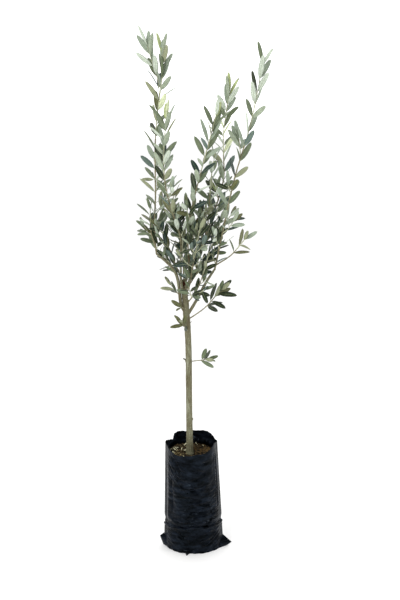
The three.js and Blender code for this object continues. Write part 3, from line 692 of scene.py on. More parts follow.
class Finish:
    """A material's node tree, with its shader and helpers that add to it."""

    def __init__(self, name, colour, roughness, specular=0.5):
        self.material = bpy.data.materials.new(name)
        self.material.use_nodes = True
        self.material.diffuse_color = colour
        self.tree = self.material.node_tree
        self.shader = self.tree.nodes["Principled BSDF"]
        self.set({"Base Color": colour, "Roughness": roughness, "Specular IOR Level": specular})
        self.coordinates = self.node("ShaderNodeTexCoord", {}, "Object")

    def set(self, inputs):
        fill_inputs(self.tree, self.shader, inputs)

    def node(self, kind, inputs, output, **values):
        """Adds a node and gives one of its outputs."""
        made = self.tree.nodes.new(kind)
        for key, value in values.items():
            setattr(made, key, value)
        fill_inputs(self.tree, made, inputs)
        return made.outputs[output]

    def stretched(self, stretch):
        """Object coordinates stretched along each axis: a pattern runs long where the stretch is small."""
        return self.node("ShaderNodeMapping", {"Vector": self.coordinates, "Scale": stretch}, "Vector")

    def noise(self, scale, detail=3, roughness=0.5, distortion=0, stretch=(1, 1, 1)):
        inputs = {"Vector": self.stretched(stretch), "Scale": scale, "Detail": detail, "Roughness": roughness,
                  "Distortion": distortion}
        return self.node("ShaderNodeTexNoise", inputs, "Fac")

    def spots(self, scale, stretch):
        inputs = {"Vector": self.stretched(stretch), "Scale": scale}
        return self.node("ShaderNodeTexVoronoi", inputs, "Distance")

    def ramp(self, source, stops):
        made = self.tree.nodes.new("ShaderNodeValToRGB")
        elements = made.color_ramp.elements
        elements[0].position, elements[0].color = stops[0]
        elements[1].position, elements[1].color = stops[-1]
        for position, colour in stops[1:-1]:
            elements.new(position).color = colour
        self.tree.links.new(source, made.inputs["Fac"])
        return made.outputs["Color"]

    def shades(self, source, colour, stops):
        """A ramp of darker and paler shades of one colour."""
        return self.ramp(source, [(place, shade(colour, factor)) for place, factor in stops])

    def blended(self, factor, first, second):
        inputs = {"Factor": factor, MIX_FIRST: first, MIX_SECOND: second}
        return self.node("ShaderNodeMix", inputs, MIX_RESULT, data_type="RGBA")

    def rough(self, source, low, high):
        inputs = {"Value": source, "To Min": low, "To Max": high}
        self.set({"Roughness": self.node("ShaderNodeMapRange", inputs, "Result")})

    def bump(self, sources, distance):
        """Relief from one or more heights, the last one on top."""
        below = {}
        for height, strength in sources:
            inputs = {"Height": height, "Strength": strength, "Distance": distance, **below}
            below = {"Normal": self.node("ShaderNodeBump", inputs, "Normal")}
        self.set(below)

    def done(self, colour, sources=(), distance=0.001):
        """The material, with its colour and relief in place."""
        self.set({"Base Color": colour})
        self.bump(sources, distance)
        return self.material


WHITE = (1, 1, 1, 1)
BLACK = (0, 0, 0, 1)

# Leaf tones: the upper side, the underside, and how common each is at the crown's foot and at its top
TONES = {
    "sage": (srgb(108, 120, 94), srgb(152, 163, 142), 0.30, 0.34),
    "silver": (srgb(150, 163, 144), srgb(188, 198, 182), 0.07, 0.38),
    "olive": (srgb(92, 94, 58), srgb(140, 145, 116), 0.26, 0.08),
    "deep": (srgb(38, 50, 27), srgb(92, 104, 78), 0.26, 0.12),
    "blue": (srgb(34, 55, 50), srgb(94, 111, 104), 0.12, 0.09),
    "new": (srgb(178, 190, 136), srgb(206, 214, 176), 0.0, 0.03),
}
# Young tips are pale, but only high in the crown, and one leader is paler than the rest
TIP_TONES = {"new": 0.45, "silver": 0.35, "sage": 0.2}
TIP_TONES_FROM = 0.35
# The small twigs on the trunk stand in the crown's shade and are mostly dark
TWIG_TONES = {"deep": 0.42, "olive": 0.38, "sage": 0.2}
PALE_MASS = "right_leader"
PALE_MORE = 2.2
# Painted shade: round this middle of the crown's heart, and within these reaches, the chances of the dark
# deep and blue tones are raised, most of all at the middle. This stands in for the shade inside the crown.
HEART_MIDDLE = np.array([-12.0, 0.0, 868.0])
HEART_REACH = np.array([140.0, 130.0, 140.0])
HEART_PAINTED_SHADE = 12
FILM_COLOUR = (0.0022, 0.003, 0.0046, 1)
FILM_TINT = (0.64, 0.83, 1, 1)
FILM_ROUGHNESS = 0.2


def leaf_finish(name, colour, roughness, specular, sheen):
    made = Finish(name, colour, roughness, specular)
    made.set({"Sheen Weight": sheen})
    tone = made.shades(made.noise(95, detail=2), colour, [(0.3, 0.86), (0.7, 1.12)])
    return made.done(tone, [(made.noise(900, detail=1), 0.12)], 0.0006)


def rib_finish():
    made = Finish("leaf rib", srgb(126, 134, 100), 0.6)
    return made.done(made.ramp(made.noise(140), [(0.3, srgb(112, 120, 88)), (0.7, srgb(142, 150, 116))]))


def bark_finish():
    """Smooth young bark: grey-olive with brown and pale patches, long fine streaks and small flecks."""
    made = Finish("bark", srgb(108, 105, 84), 0.82, 0.25)
    patches = made.noise(38, detail=5, roughness=0.6, stretch=(1, 1, 0.35))
    tone = made.ramp(patches, [(0.3, srgb(70, 60, 40)), (0.45, srgb(103, 99, 76)), (0.56, srgb(117, 117, 94)),
                               (0.72, srgb(150, 151, 130))])
    streaks = made.noise(420, detail=4, stretch=(1, 1, 0.1))
    streaked = made.blended(made.ramp(streaks, [(0.38, WHITE), (0.5, BLACK)]), tone, srgb(92, 86, 64))
    fleck = made.ramp(made.spots(230, stretch=(1, 1, 0.55)), [(0.1, WHITE), (0.2, BLACK)])
    flecked = made.blended(fleck, streaked, srgb(176, 172, 148))
    return made.done(flecked, [(streaks, 0.5), (made.noise(900, detail=5), 0.35), (fleck, 0.5)], 0.0008)


def twig_finish(name, low, high):
    made = Finish(name, low, 0.75, 0.3)
    tone = made.ramp(made.noise(160, detail=4, stretch=(1, 1, 0.5)), [(0.35, low), (0.65, high)])
    return made.done(tone, [(made.noise(1200, detail=3, stretch=(1, 1, 0.3)), 0.4)], 0.0004)


def wound_finish():
    """The dark red-brown wood of a pruning cut."""
    made = Finish("cut wood", srgb(64, 34, 22), 0.9, 0.2)
    rings = made.noise(500, detail=4, stretch=(1, 1, 0.4))
    tone = made.ramp(rings, [(0.35, srgb(34, 18, 12)), (0.6, srgb(86, 48, 30)), (0.8, srgb(118, 78, 52))])
    return made.done(tone, [(rings, 0.8)], 0.001)


def film_finish():
    """Thin creased polythene: near black, satin, with fine level wrinkles, and streaky paler patches that are
    partly dust haze and partly painted highlights.
    """
    made = Finish("black film", FILM_COLOUR, FILM_ROUGHNESS, 0.055)
    made.set({"Sheen Weight": 0.09, "Sheen Roughness": 0.15, "Specular Tint": FILM_TINT})
    # Streaky patches of darker and paler base colour: partly dust haze on the film, and partly painted
    # highlights that stand in for the glints on its creases. The roughness follows the same patches.
    haze_and_glints = made.noise(34, detail=6, roughness=0.68, distortion=0.4, stretch=(0.8, 0.8, 2.0))
    tone = made.shades(haze_and_glints, FILM_COLOUR, [(0.4, 0.08), (0.53, 1.8), (0.68, 5)])
    made.rough(haze_and_glints, FILM_ROUGHNESS - 0.07, FILM_ROUGHNESS + 0.12)
    fine = made.noise(90, detail=4, roughness=0.5, distortion=0.6, stretch=(0.35, 0.35, 1.5))
    return made.done(tone, [(fine, 0.36), (made.noise(700, detail=3), 0.08)], 0.0016)


def chip_finish(name, colour):
    made = Finish(name, colour, 0.92, 0.15)
    grain = made.noise(650, detail=4, stretch=(1, 0.3, 1))
    return made.done(made.shades(grain, colour, [(0.3, 0.6), (0.7, 1.35)]), [(grain, 0.7)], 0.0008)


def soil_finish():
    made = Finish("compost", srgb(44, 34, 22), 1.0, 0.1)
    crumbs = made.noise(260, detail=6, roughness=0.7)
    tone = made.ramp(crumbs, [(0.38, srgb(14, 10, 5)), (0.58, srgb(48, 37, 23)), (0.75, srgb(92, 74, 50))])
    return made.done(tone, [(crumbs, 1.0)], 0.003)


# Meshes

def add_to_scene(name, data):
    made = bpy.data.objects.new(name, data)
    bpy.context.scene.collection.objects.link(made)
    return made


def make_piece(name, points, faces, materials, slots=None, replaces=(), smooth=True):
    """A mesh from points in millimetres, riding with the plant."""
    mesh = bpy.data.meshes.new(name)
    mesh.from_pydata((np.asarray(points, float) * MM).tolist(), [], [list(face) for face in faces])
    for material in materials:
        mesh.materials.append(material)
    if slots is not None:
        mesh.polygons.foreach_set("material_index", np.asarray(slots, np.int32))
    mesh.polygons.foreach_set("use_smooth", np.full(len(mesh.polygons), smooth))
    mesh.update()
    piece = add_to_scene(name, mesh)
    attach(piece, "root")
    if replaces:
        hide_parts(*replaces)


def grid_faces(rows, columns, closed, start=0):
    """Quads over a grid of points laid out row by row, closed round its columns or open."""
    faces = []
    for row in range(rows - 1):
        for column in range(columns if closed else columns - 1):
            after = (column + 1) % columns
            low = start + row * columns
            high = low + columns
            faces.append((low + column, low + after, high + after, high + column))
    return faces


def moved_faces(faces, start):
    return [tuple(start + corner for corner in face) for face in faces]


def bell(offset, reach):
    """A smooth hump: 1 in its middle, and fading out past its reach."""
    return np.exp(-(offset / reach) ** 2)


def waves(angle, rows):
    """A sum of waves round a ring, each with its size, how many there are and where it starts."""
    return sum(size * np.sin(count * angle + start) for size, count, start in rows)


def turn_between(degrees, middle):
    """The signed angle from a heading to others, the short way round."""
    return (degrees - middle + 180) % 360 - 180


def smooth_path(points, spacing):
    """A smooth curve through points, with a point every so often."""
    control = [2 * points[0] - points[1], *points, 2 * points[-1] - points[-2]]
    path = []
    for index in range(1, len(control) - 2):
        before, start, end, after = control[index - 1:index + 3]
        count = max(1, int(np.linalg.norm(end - start) / spacing))
        for part in range(count):
            t = part / count
            path.append(0.5 * (
                2 * start + (end - before) * t
                + (2 * before - 5 * start + 4 * end - after) * t ** 2
                + (3 * start - before - 3 * end + after) * t ** 3
            ))
    return path + [points[-1]]


def path_directions(path):
    path = np.asarray(path)
    ahead = np.concatenate([path[1:], path[-1:]]) - np.concatenate([path[:1], path[:-1]])
    return ahead / np.linalg.norm(ahead, axis=1)[:, None]


def tube(path, radii, sides):
    """The points of a round tube along a path: a row of points for each of its places, without caps."""
    rows = []
    for point, direction, radius in zip(path, path_directions(path), radii):
        rows += [point + heading_vector(direction, 360 * side / sides) * radius for side in range(sides)]
    return rows


# The trunk's own marks. The cut is hollow, with a lip round it and bare wood out to a share of its size. A
# knot is a swelling, given by its height, heading, size and reach. A stub is the dead end of a twig, given
# by its height, heading, length, radius and rise.
WOUND = dict(height=809, heading=-74, tall=11, wide=46, depth=2.6, bare=0.85)
WOUND_LIP = dict(size=1.6, at=1.15, reach=0.3)
KNOTS = [
    (404, 5, 3.4, 2.4), (583, 185, 1.8, 4), (648, 300, 1.0, 6), (528, 250, 0.8, 7), (458, 200, 0.6, 6),
    (713, 240, 1.3, 9), (496, 272, 1.1, 3), (452, 280, 1.1, 3), (667, 268, 1.2, 3), (753, 10, 1.4, 10),
    (724, 200, 1.6, 12), (368, 330, 0.7, 7),
]
KNOT_RADIUS = 9
STUBS = [(580, 185, 13, 2.0, 35), (776, 5, 10, 1.1, 12), (760, -12, 8, 0.9, 25), (692, 20, 9, 0.9, 30)]
STUB_SIDES = 8
STUB_SINK = 0.7
# A stub's outline: shares of its length with shares of its radius
STUB_SHAPE = [(0, 1.7), (0.3, 1.15), (0.65, 1), (1, 0.95), (1.06, 0.2)]
BARK_ROW = 2.5
BARK_SIDES = {"trunk": 44, "bough": 22}
BARK_RELIEF = 0.32
# Layers of the bark's relief: how fast each changes across and up, and its size
BARK_LAYERS = [(0.07, 0.018, 1.5), (0.45, 0.07, 0.9), (1.1, 0.5, 0.45)]
BOUGH_RELIEF = 0.7
COLLAR = dict(size=2.4, reach=7)
LIMB_END = 0.25


def bark_relief(point, heading, height, limb):
    """How far the bark stands out from the limb's plain radius at a place."""
    place = Vector(point)
    layers = sum(
        size * noise.noise(Vector((place.x * across, place.y * across, place.z * up)))
        for across, up, size in BARK_LAYERS
    )
    if limb.parent:
        return BARK_RELIEF * layers * BOUGH_RELIEF
    relief = BARK_RELIEF * layers
    for level, toward, size, reach in KNOTS:
        aside = math.radians(turn_between(heading, toward)) * KNOT_RADIUS
        relief += size * bell(math.hypot(height - level, aside), reach)
    away = wound_distance(heading, height)
    hollow = WOUND["depth"] * max(0, 1 - away ** 2)
    return relief + WOUND_LIP["size"] * bell(away - WOUND_LIP["at"], WOUND_LIP["reach"]) - hollow


def wound_distance(heading, height):
    """How far a place on the trunk is from the middle of the cut, 1 at its edge."""
    aside = turn_between(heading, WOUND["heading"])
    return math.hypot((height - WOUND["height"]) / WOUND["tall"], aside / WOUND["wide"])


def limb_piece(limb, materials):
    """A limb with its bark's relief, a collar where it leaves its parent, and a closed end."""
    sides = BARK_SIDES["bough" if limb.parent else "trunk"]
    path = smooth_path(limb.line, BARK_ROW)
    directions = path_directions(path)
    rows = []
    for index, (point, direction) in enumerate(zip(path, directions)):
        share = index / (len(path) - 1)
        radius = limb.radius(share)
        if limb.parent:
            radius += COLLAR["size"] * math.exp(-share * limb.length / COLLAR["reach"])
        for side in range(sides):
            heading = 360 * side / sides
            spoke = heading_vector(direction, heading)
            surface = point + spoke * radius
            rows.append(surface + spoke * bark_relief(surface, heading, point[2], limb))
    faces = grid_faces(len(path), sides, True)
    rows.append(path[-1] + directions[-1] * LIMB_END * limb.radius(1))
    top = (len(path) - 1) * sides
    faces += [(top + side, top + (side + 1) % sides, len(rows) - 1) for side in range(sides)]
    slots = [0] * len(faces)
    if not limb.parent:
        for number in range(len(faces) - sides):
            row, side = divmod(number, sides)
            if wound_distance(360 * (side + 0.5) / sides, path[row][2]) < WOUND["bare"]:
                slots[number] = 1
        rows[:sides] = [np.array([row[0], row[1], TRUNK_FOOT[2]]) for row in rows[:sides]]
    make_piece(limb.name + "_bark", rows, faces, materials, slots, [limb.name])


def stub_pieces(plant, materials):
    """Short dead ends of twigs on the trunk."""
    trunk = plant.limbs["trunk"]
    rows = []
    faces = []
    for height, heading, length, radius, rise in STUBS:
        share = (height - TRUNK_FOOT[2]) / trunk.length
        angle = math.radians(heading)
        flat = math.cos(math.radians(rise))
        out = np.array([math.cos(angle) * flat, math.sin(angle) * flat, math.sin(math.radians(rise))])
        start = read_along(trunk.line, share) + out * trunk.radius(share) * STUB_SINK
        path = [start + out * length * along for along, _ in STUB_SHAPE]
        faces += grid_faces(len(path), STUB_SIDES, True, len(rows))
        rows += tube(path, [radius * wide for _, wide in STUB_SHAPE], STUB_SIDES)
    make_piece("stubs", rows, faces, materials, None)


TWIG_SIDES = 7
TWIG_ROW = 5
NODE_SWELL = 0.22
NODE_REACH = 2.2
# A twig's rounded end, in radii: how far out each row stands, and its size
TWIG_END = [(0.7, 0.75), (1.1, 0.2)]
# Stems that start above this height are green all along, and the others towards their tips
YOUNG_FROM = 1158
GREEN_FROM = 0.62
SMALL_TWIG_GREEN_FROM = 0.9


def twig_tube(twig):
    """A twig's round skin, swollen a little at each leaf pair and rounded at its end."""
    path = smooth_path(twig.points, TWIG_ROW if twig.kind == "stem" else TWIG_ROW / 2)
    gaps = nearest(np.array(path), np.array([pair.point for pair in twig.pairs]))
    radii = []
    for index, gap in enumerate(gaps):
        plain = mix(twig.radii[0], twig.radii[-1], index / (len(path) - 1)) * TWIG_ROUND
        radii.append(plain * (1 + NODE_SWELL * bell(gap, NODE_REACH)))
    tip = path[-1]
    radius = radii[-1]
    end = path_directions(path)[-1]
    path += [tip + end * radius * out for out, _ in TWIG_END]
    radii += [radius * wide for _, wide in TWIG_END]
    return tube(path, radii, TWIG_SIDES), len(path)


def twigs_piece(plant, materials):
    """All twigs as one mesh: brown low in the crown and greener in the young growth."""
    rows = []
    faces = []
    slots = []
    for mass in plant.masses:
        green_from = SMALL_TWIG_GREEN_FROM if mass.name.endswith("_twig") else GREEN_FROM
        for twig in mass.twigs:
            points, count = twig_tube(twig)
            made = grid_faces(count, TWIG_SIDES, True, len(rows))
            green = twig.kind != "stem" or twig.points[0][2] > YOUNG_FROM
            slots += [1 if green or number / len(made) > green_from else 0 for number in range(len(made))]
            faces += made
            rows += points
    make_piece("twigs", rows, faces, materials, slots, [mass.name for mass in plant.masses])


# A leaf's blade: stations along it from the leaf stalk to the tip, and the shape of its edge
STALK = 0.075
STALK_WIDTH = 0.09
STALK_THICKER = 2.2
BLADE_ROWS = 9
BLADE_POWERS = (0.8, 0.48)
BLADE_LEAN = 0.97
BLADE_FOLD = (0.02, 0.22)
BLADE_CURL = (-0.03, 0.15)
BLADE_TWIST = 14
BLADE_SWAY = 0.05
BLADE_THICKNESS = 0.4
BLADE_TWEAK_SEED = 500
# The blade's bend between its rib and its edge, as shares of its half width and of its fold
BLADE_BEND = (0.55, 0.42)
# The rib: its half width, how much of that it loses to the tip, its greatest share of the blade, and how far
# it stands out above and below
RIB = dict(width=0.5, taper=0.7, share=0.6, above=0.12, below=0.25)


def blade_half_width(along):
    """The blade's half width as a share of its greatest one: a narrow oval on a short stalk."""
    if along <= STALK:
        return STALK_WIDTH
    inner = ((along - STALK) / (1 - STALK)) ** BLADE_LEAN
    return max(STALK_WIDTH * (1 - along), (4 * inner * (1 - inner)) ** mix(*BLADE_POWERS, inner))


def blade_points(leaf, stream):
    """Both sides of one leaf, with a raised rib along its middle."""
    fold = stream.between(*BLADE_FOLD)
    curl = stream.between(*BLADE_CURL)
    twist = math.radians(stream.between(-BLADE_TWIST, BLADE_TWIST))
    sway = stream.between(-BLADE_SWAY, BLADE_SWAY)
    points = []
    for row in range(BLADE_ROWS):
        along = row / (BLADE_ROWS - 1)
        along = mix(along, 0.5 - 0.5 * math.cos(math.pi * along), 0.5)
        half = blade_half_width(along) * leaf.width / 2
        rib = min(RIB["width"] * (1 - RIB["taper"] * along), half * RIB["share"])
        across = turned(leaf.across, leaf.direction, twist * along)
        face = turned(leaf.face, leaf.direction, twist * along)
        bend = (leaf.across * sway - leaf.face * curl) * leaf.length * along ** 2
        middle = leaf.root + leaf.direction * along * leaf.length + bend
        edge = (half, fold * half)
        inner = (half * BLADE_BEND[0], fold * half * BLADE_BEND[1])
        thickness = BLADE_THICKNESS * (STALK_THICKER if along < STALK else 1)
        upper = [edge, inner, (rib, RIB["above"])]
        under = [inner, (rib, -RIB["below"])]
        outline = [(-out, rise) for out, rise in upper] + upper[::-1]
        outline += [(out, rise - thickness) for out, rise in under]
        outline += [(-out, rise - thickness) for out, rise in under[::-1]]
        points += [middle + across * out + face * rise for out, rise in outline]
    return points


BLADE_COLUMNS = 10
UPPER, RIB_SLOT, UNDER = 0, 2, 1
COLUMN_SLOTS = [UPPER, UPPER, RIB_SLOT, UPPER, UPPER, UNDER, UNDER, RIB_SLOT, UNDER, UNDER]


def choose_tone(leaf, mass, stream):
    """A tone dealt out by the leaf's place: paler towards the tips, and darker deep inside the crown's heart
    as painted shade.
    """
    up = crown_share(leaf.root[2])
    inner = max(0, 1 - np.linalg.norm((leaf.root - HEART_MIDDLE) / HEART_REACH))
    # Painted shade: the dark deep and blue tones grow more likely towards the heart's middle
    chances = {
        name: mix(low, high, up) * (1 + HEART_PAINTED_SHADE * inner * (name in ("deep", "blue")))
        for name, (_, _, low, high) in TONES.items()
    }
    if leaf.at_tip and up > TIP_TONES_FROM:
        chances = dict(TIP_TONES)
    if mass.name.endswith("_twig"):
        chances = dict(TWIG_TONES)
    if mass.name == PALE_MASS:
        chances["silver"] *= PALE_MORE
    left = stream.draw() * sum(chances.values())
    for name, chance in chances.items():
        left -= chance
        if left < 0:
            return name
    return "sage"


def leaf_pieces(plant):
    """The leaves, joined by tone."""
    stream = Stream(BLADE_TWEAK_SEED)
    rib = rib_finish()
    piles = {name: [] for name in TONES}
    for mass in plant.masses:
        for leaf in mass.leaves:
            piles[choose_tone(leaf, mass, stream)].append(leaf)
    names = [mass.name for mass in plant.masses]
    pattern = grid_faces(BLADE_ROWS, BLADE_COLUMNS, True)
    for name, leaves in piles.items():
        upper, under = TONES[name][:2]
        materials = [leaf_finish(name + " leaf", upper, 0.46, 0.28, 0.02),
                     leaf_finish(name + " underside", under, 0.8, 0.15, 0.12), rib]
        rows = []
        faces = []
        for leaf in leaves:
            faces += moved_faces(pattern, len(rows))
            rows += blade_points(leaf, stream)
        slots = COLUMN_SLOTS * ((BLADE_ROWS - 1) * len(leaves))
        make_piece("leaves_" + name, rows, faces, materials, slots, names)


# The bag's film, with its creases

FILM_COLUMNS = 320
# The film's rows: from each height to the next, with this spacing. Above the last height they follow the rim.
FILM_ROWS = [(0, 18, 1.0), (18, 62, 1.7), (62, 100, 0.8), (100, 150, 1.7)]
FILM_ROW_TOP = 1.7
FILM_THICKNESS = 0.5
FILM_INSIDE = 276
INSIDE_ROWS = 34
FOOT_RING = 0.5
WRINKLE_SEED = 900
# Groups of wrinkles: how many, then the least and greatest of their heights, headings, lengths, half widths,
# sizes and slopes. Level ones crowd low at the right of the front, and slanting ones run down from the rim's
# left corner and to the two ears.
WRINKLES = [
    (80, (94, 235), (0, 360), (18, 60), (2.2, 4.6), (-3.2, 1.6), (-10, 10)),
    (70, (90, 172), (262, 350), (26, 90), (1.7, 3.0), (-3.4, 2.6), (-3, 12)),
    (56, (205, 318), (0, 360), (26, 70), (2.8, 5.6), (-2.4, 1.7), (-34, 34)),
    (14, (228, 308), (192, 238), (36, 84), (2.2, 4.0), (-2.6, 2.6), (-60, -38)),
    (24, (14, 70), (190, 250), (22, 60), (1.8, 3.6), (-2.6, 2.4), (-44, -12)),
    (30, (14, 74), (286, 350), (22, 60), (1.8, 3.6), (-2.6, 2.4), (8, 40)),
    (34, (10, 80), (0, 360), (20, 64), (2.2, 4.4), (-2.6, 1.9), (-18, 18)),
]
WRINKLE_BOW = (-0.006, 0.006)
WRINKLE_DIP = 0.5
# Broad dents: their size, how fast they change across and up, and the finer ones in them
DENTS = dict(size=2.2, across=0.024, up=0.026, fractal=(0.9, 2.0, 3))
# Crumpled film: sharp creases between small dents, most of all in the bag's middle
CRUMPLE = dict(size=2.8, across=0.036, up=0.085, start=7, rise=0.25, finer=2.1, fine=0.5)
CRUMPLE_FADE = dict(low=70, high=250, ease=50, least=0.15)
# Upright creases: heading, lowest and highest place, size and half width in degrees
UPRIGHTS = [
    (207, 90, 300, 1.2, 5.0), (221, 120, 262, -1.5, 3.0), (332, 150, 318, 1.3, 1.7),
    (343, 120, 322, 1.5, 2.0), (337.5, 130, 320, -1.3, 1.8), (258, 2, 62, -1.6, 1.6),
    (355, 90, 300, -1.2, 2.4), (196, 20, 300, -1.0, 2.4),
]
UPRIGHT_SWAY = dict(size=1.2, speed=0.045)
UPRIGHT_FADE = 25
RIM_WAVE = 0.9
RIM_WAVES = [(0.6, 13, 0.6), (0.4, 29, 2)]
# Creases are calmer near the rim and at the two folded edges, and fade out at the foot
RIM_CALM = dict(over=16, least=0.35)
EDGE_CALM = dict(share=0.92, spread=36)
FOOT_CALM = dict(start=1, over=8)
CREASE_SINK = 0.6
# The fold round the bag, where the film laps over itself above a sharp line: it stands highest at the front,
# and its two ends pass each other there
TIE_FOLD = dict(height=79, front=8, right=2.5, depth=4.4, width=1.7, lap=3.2, below=4.6, spread=3.0)
TIE_WAVES = [(1.2, 3, 1), (0.9, 8, 0), (0.6, 19, 2)]
TIE_PASS = dict(heading=262, step=5, ease=5, spread=40)
# The foot: a rolled edge under a shallow groove, a small tab of the seam at the front, and slack film that
# spreads over the floor there
FOOT_EDGE = dict(groove=12, width=2.2, depth=1.5, roll=5, swell=1.3)
GROOVE_WAVES = [(2.2, 5, 1), (1.4, 13, 0)]
FOOT_TAB = dict(heading=258, wide=2.2, out=12, height=9)
FOOT_SKIRT = dict(out=6, height=5, heading=268, spread=62)
# A fold of slack film inside, at the back right
INNER_FOLD = dict(heading=58, spread=44, height=309, reach=5.5, size=6.5)


def bag_half_width(z):
    return mix(BAG_HALF_WIDTH_FOOT, BAG_HALF_WIDTH_RIM, z / RIM_HEIGHT)


def angle_from_fold(degrees):
    return abs((degrees + 90) % 180 - 90)


def film_shape(degrees, z, inset):
    """Places on the film, moved inward by inset, from arrays of headings and heights."""
    angle = np.radians(degrees)
    half_width = bag_half_width(z)
    depth = np.sqrt(2 * FILM_RADIUS ** 2 - half_width ** 2)
    crease = CREASE_OUT * bell(angle_from_fold(degrees), CREASE_SPREAD)
    roll = FOOT_TUCK * np.clip(1 - z / FOOT_ROLL, 0, 1) ** 2
    inward = inset + roll + TIE_PINCH * bell(z - TIE_HEIGHT, TIE_REACH) - crease
    x = BAG_SHIFT_RIM * (z / RIM_HEIGHT) + (half_width - inward) * np.cos(angle)
    y = (depth - inward) * np.sin(angle)
    return np.stack([x, y, z + 0 * x], -1)


def film_place(degrees, z, inset):
    """One place on the film."""
    return film_shape(np.array(float(degrees)), np.array(float(z)), inset)


def rim_height(degrees):
    """The rim's height at headings, with the small waves of its cut edge."""
    return np.interp(degrees % 360, *zip(*RIM)) + RIM_WAVE * waves(np.radians(degrees), RIM_WAVES)


def wrinkle_relief(degrees, z):
    """Creases of the film: many short, nearly level folds, each a seeded stroke over the surface."""
    stream = Stream(WRINKLE_SEED)
    around = np.radians(degrees) * FILM_RADIUS
    girth = 2 * math.pi * FILM_RADIUS
    relief = np.zeros_like(z)
    for count, heights, headings, lengths, half_widths, sizes, slopes in WRINKLES:
        for _ in range(count):
            middle = stream.between(*headings) / 360 * girth
            height = stream.between(*heights)
            half = stream.between(*lengths) / 2
            wide = stream.between(*half_widths)
            size = stream.between(*sizes)
            slope = math.tan(math.radians(stream.between(*slopes)))
            bow = stream.between(*WRINKLE_BOW)
            along = (around - middle + girth / 2) % girth - girth / 2
            off = z - height - slope * along - bow * along ** 2
            fade = np.clip(1 - (along / half) ** 2, 0, 1)
            relief += size * fade * (bell(off, wide) - WRINKLE_DIP * bell(off - 2 * wide, wide))
    return relief


def dent_relief(points):
    """Broad dents, and sharper creases where the film is crumpled."""
    values = []
    for x, y, z in points.reshape(-1, 3):
        place = Vector((x * DENTS["across"], y * DENTS["across"], z * DENTS["up"]))
        broad = noise.fractal(place, *DENTS["fractal"])
        place = Vector((x * CRUMPLE["across"], y * CRUMPLE["across"], z * CRUMPLE["up"] + CRUMPLE["start"]))
        fine = CRUMPLE["fine"] * abs(noise.noise(place * CRUMPLE["finer"]))
        sharp = CRUMPLE["rise"] - abs(noise.noise(place)) - fine
        inside = min(z - CRUMPLE_FADE["low"], CRUMPLE_FADE["high"] - z) / CRUMPLE_FADE["ease"]
        fade = min(max(inside, CRUMPLE_FADE["least"]), 1)
        values.append(DENTS["size"] * broad + CRUMPLE["size"] * sharp * fade)
    return np.array(values).reshape(points.shape[:-1])


def upright_relief(degrees, z):
    """Folds that run down the film, each fading out at its ends."""
    relief = np.zeros_like(z)
    for heading, low, high, size, wide in UPRIGHTS:
        sway = UPRIGHT_SWAY["size"] * np.sin(z * UPRIGHT_SWAY["speed"] + heading)
        fade = np.clip((z - low) / UPRIGHT_FADE, 0, 1) * np.clip((high - z) / UPRIGHT_FADE, 0, 1)
        relief += size * fade * bell(turn_between(degrees, heading + sway), wide)
    return relief


def tie_relief(degrees, z):
    angle = np.radians(degrees)
    level = TIE_FOLD["height"] - TIE_FOLD["front"] * np.sin(angle) + TIE_FOLD["right"] * np.cos(angle)
    aside = degrees - TIE_PASS["heading"]
    step = TIE_PASS["step"] * np.clip(aside / TIE_PASS["ease"], -1, 1) * bell(aside, TIE_PASS["spread"]) / 2
    off = z - level - waves(angle, TIE_WAVES) - step
    strength = 0.75 + 0.35 * np.sin(11 * angle + 1) * np.sin(4 * angle)
    line = -TIE_FOLD["depth"] * bell(off, TIE_FOLD["width"])
    return (line + TIE_FOLD["lap"] * bell(off + TIE_FOLD["below"], TIE_FOLD["spread"])) * strength


def foot_relief(degrees, z):
    angle = np.radians(degrees)
    groove = FOOT_EDGE["groove"] + waves(angle, GROOVE_WAVES)
    strength = 0.7 + 0.5 * np.sin(4 * angle + 2)
    edge = -FOOT_EDGE["depth"] * strength * bell(z - groove, FOOT_EDGE["width"])
    swell = FOOT_EDGE["swell"] * np.sin(9 * angle + 1) * bell(z, FOOT_EDGE["roll"])
    tab = FOOT_TAB["out"] * bell(degrees - FOOT_TAB["heading"], FOOT_TAB["wide"])
    front = bell(((degrees - FOOT_SKIRT["heading"]) / FOOT_SKIRT["spread"]) ** 2, 1)
    uneven = 0.75 + 0.25 * np.sin(7 * angle + 2) * np.sin(17 * angle)
    skirt = FOOT_SKIRT["out"] * front * uneven * bell(z, FOOT_SKIRT["height"])
    return edge + swell + tab * np.clip(1 - z / FOOT_TAB["height"], 0, 1) + skirt


def film_points(degrees, z, inset):
    """Creased film: the plain shape moved out along its outward direction, calm at the two folded edges."""
    plain = film_shape(degrees, z, inset)
    outward = film_shape(degrees, z, inset - 1) - plain
    flat = np.clip((z - FOOT_CALM["start"]) / FOOT_CALM["over"], 0, 1)
    calm = np.clip((rim_height(degrees) - z) / RIM_CALM["over"], RIM_CALM["least"], 1)
    edge_calm = 1 - EDGE_CALM["share"] * bell((angle_from_fold(degrees) / EDGE_CALM["spread"]) ** 2, 1)
    creases = (wrinkle_relief(degrees, z) + dent_relief(plain)) * edge_calm + upright_relief(degrees, z)
    relief = (creases * calm + tie_relief(degrees, z) - CREASE_SINK) * flat + foot_relief(degrees, z)
    return plain + outward * relief[..., None]


def inner_fold(degrees, z):
    """How far each place inside the bag moves inward, for the wrinkled fold just over the compost."""
    angle = np.radians(degrees)
    level = INNER_FOLD["height"] + 1.5 * np.sin(9 * angle)
    ripple = 1 + 0.35 * np.sin(1.5 * z + 6 * angle) + 0.25 * np.sin(31 * angle)
    across = bell(turn_between(degrees, INNER_FOLD["heading"]), INNER_FOLD["spread"])
    size = INNER_FOLD["size"] * ripple * across * bell(z - level, INNER_FOLD["reach"])
    return np.stack([-np.cos(angle) * size, -np.sin(angle) * size, 0 * size], -1)


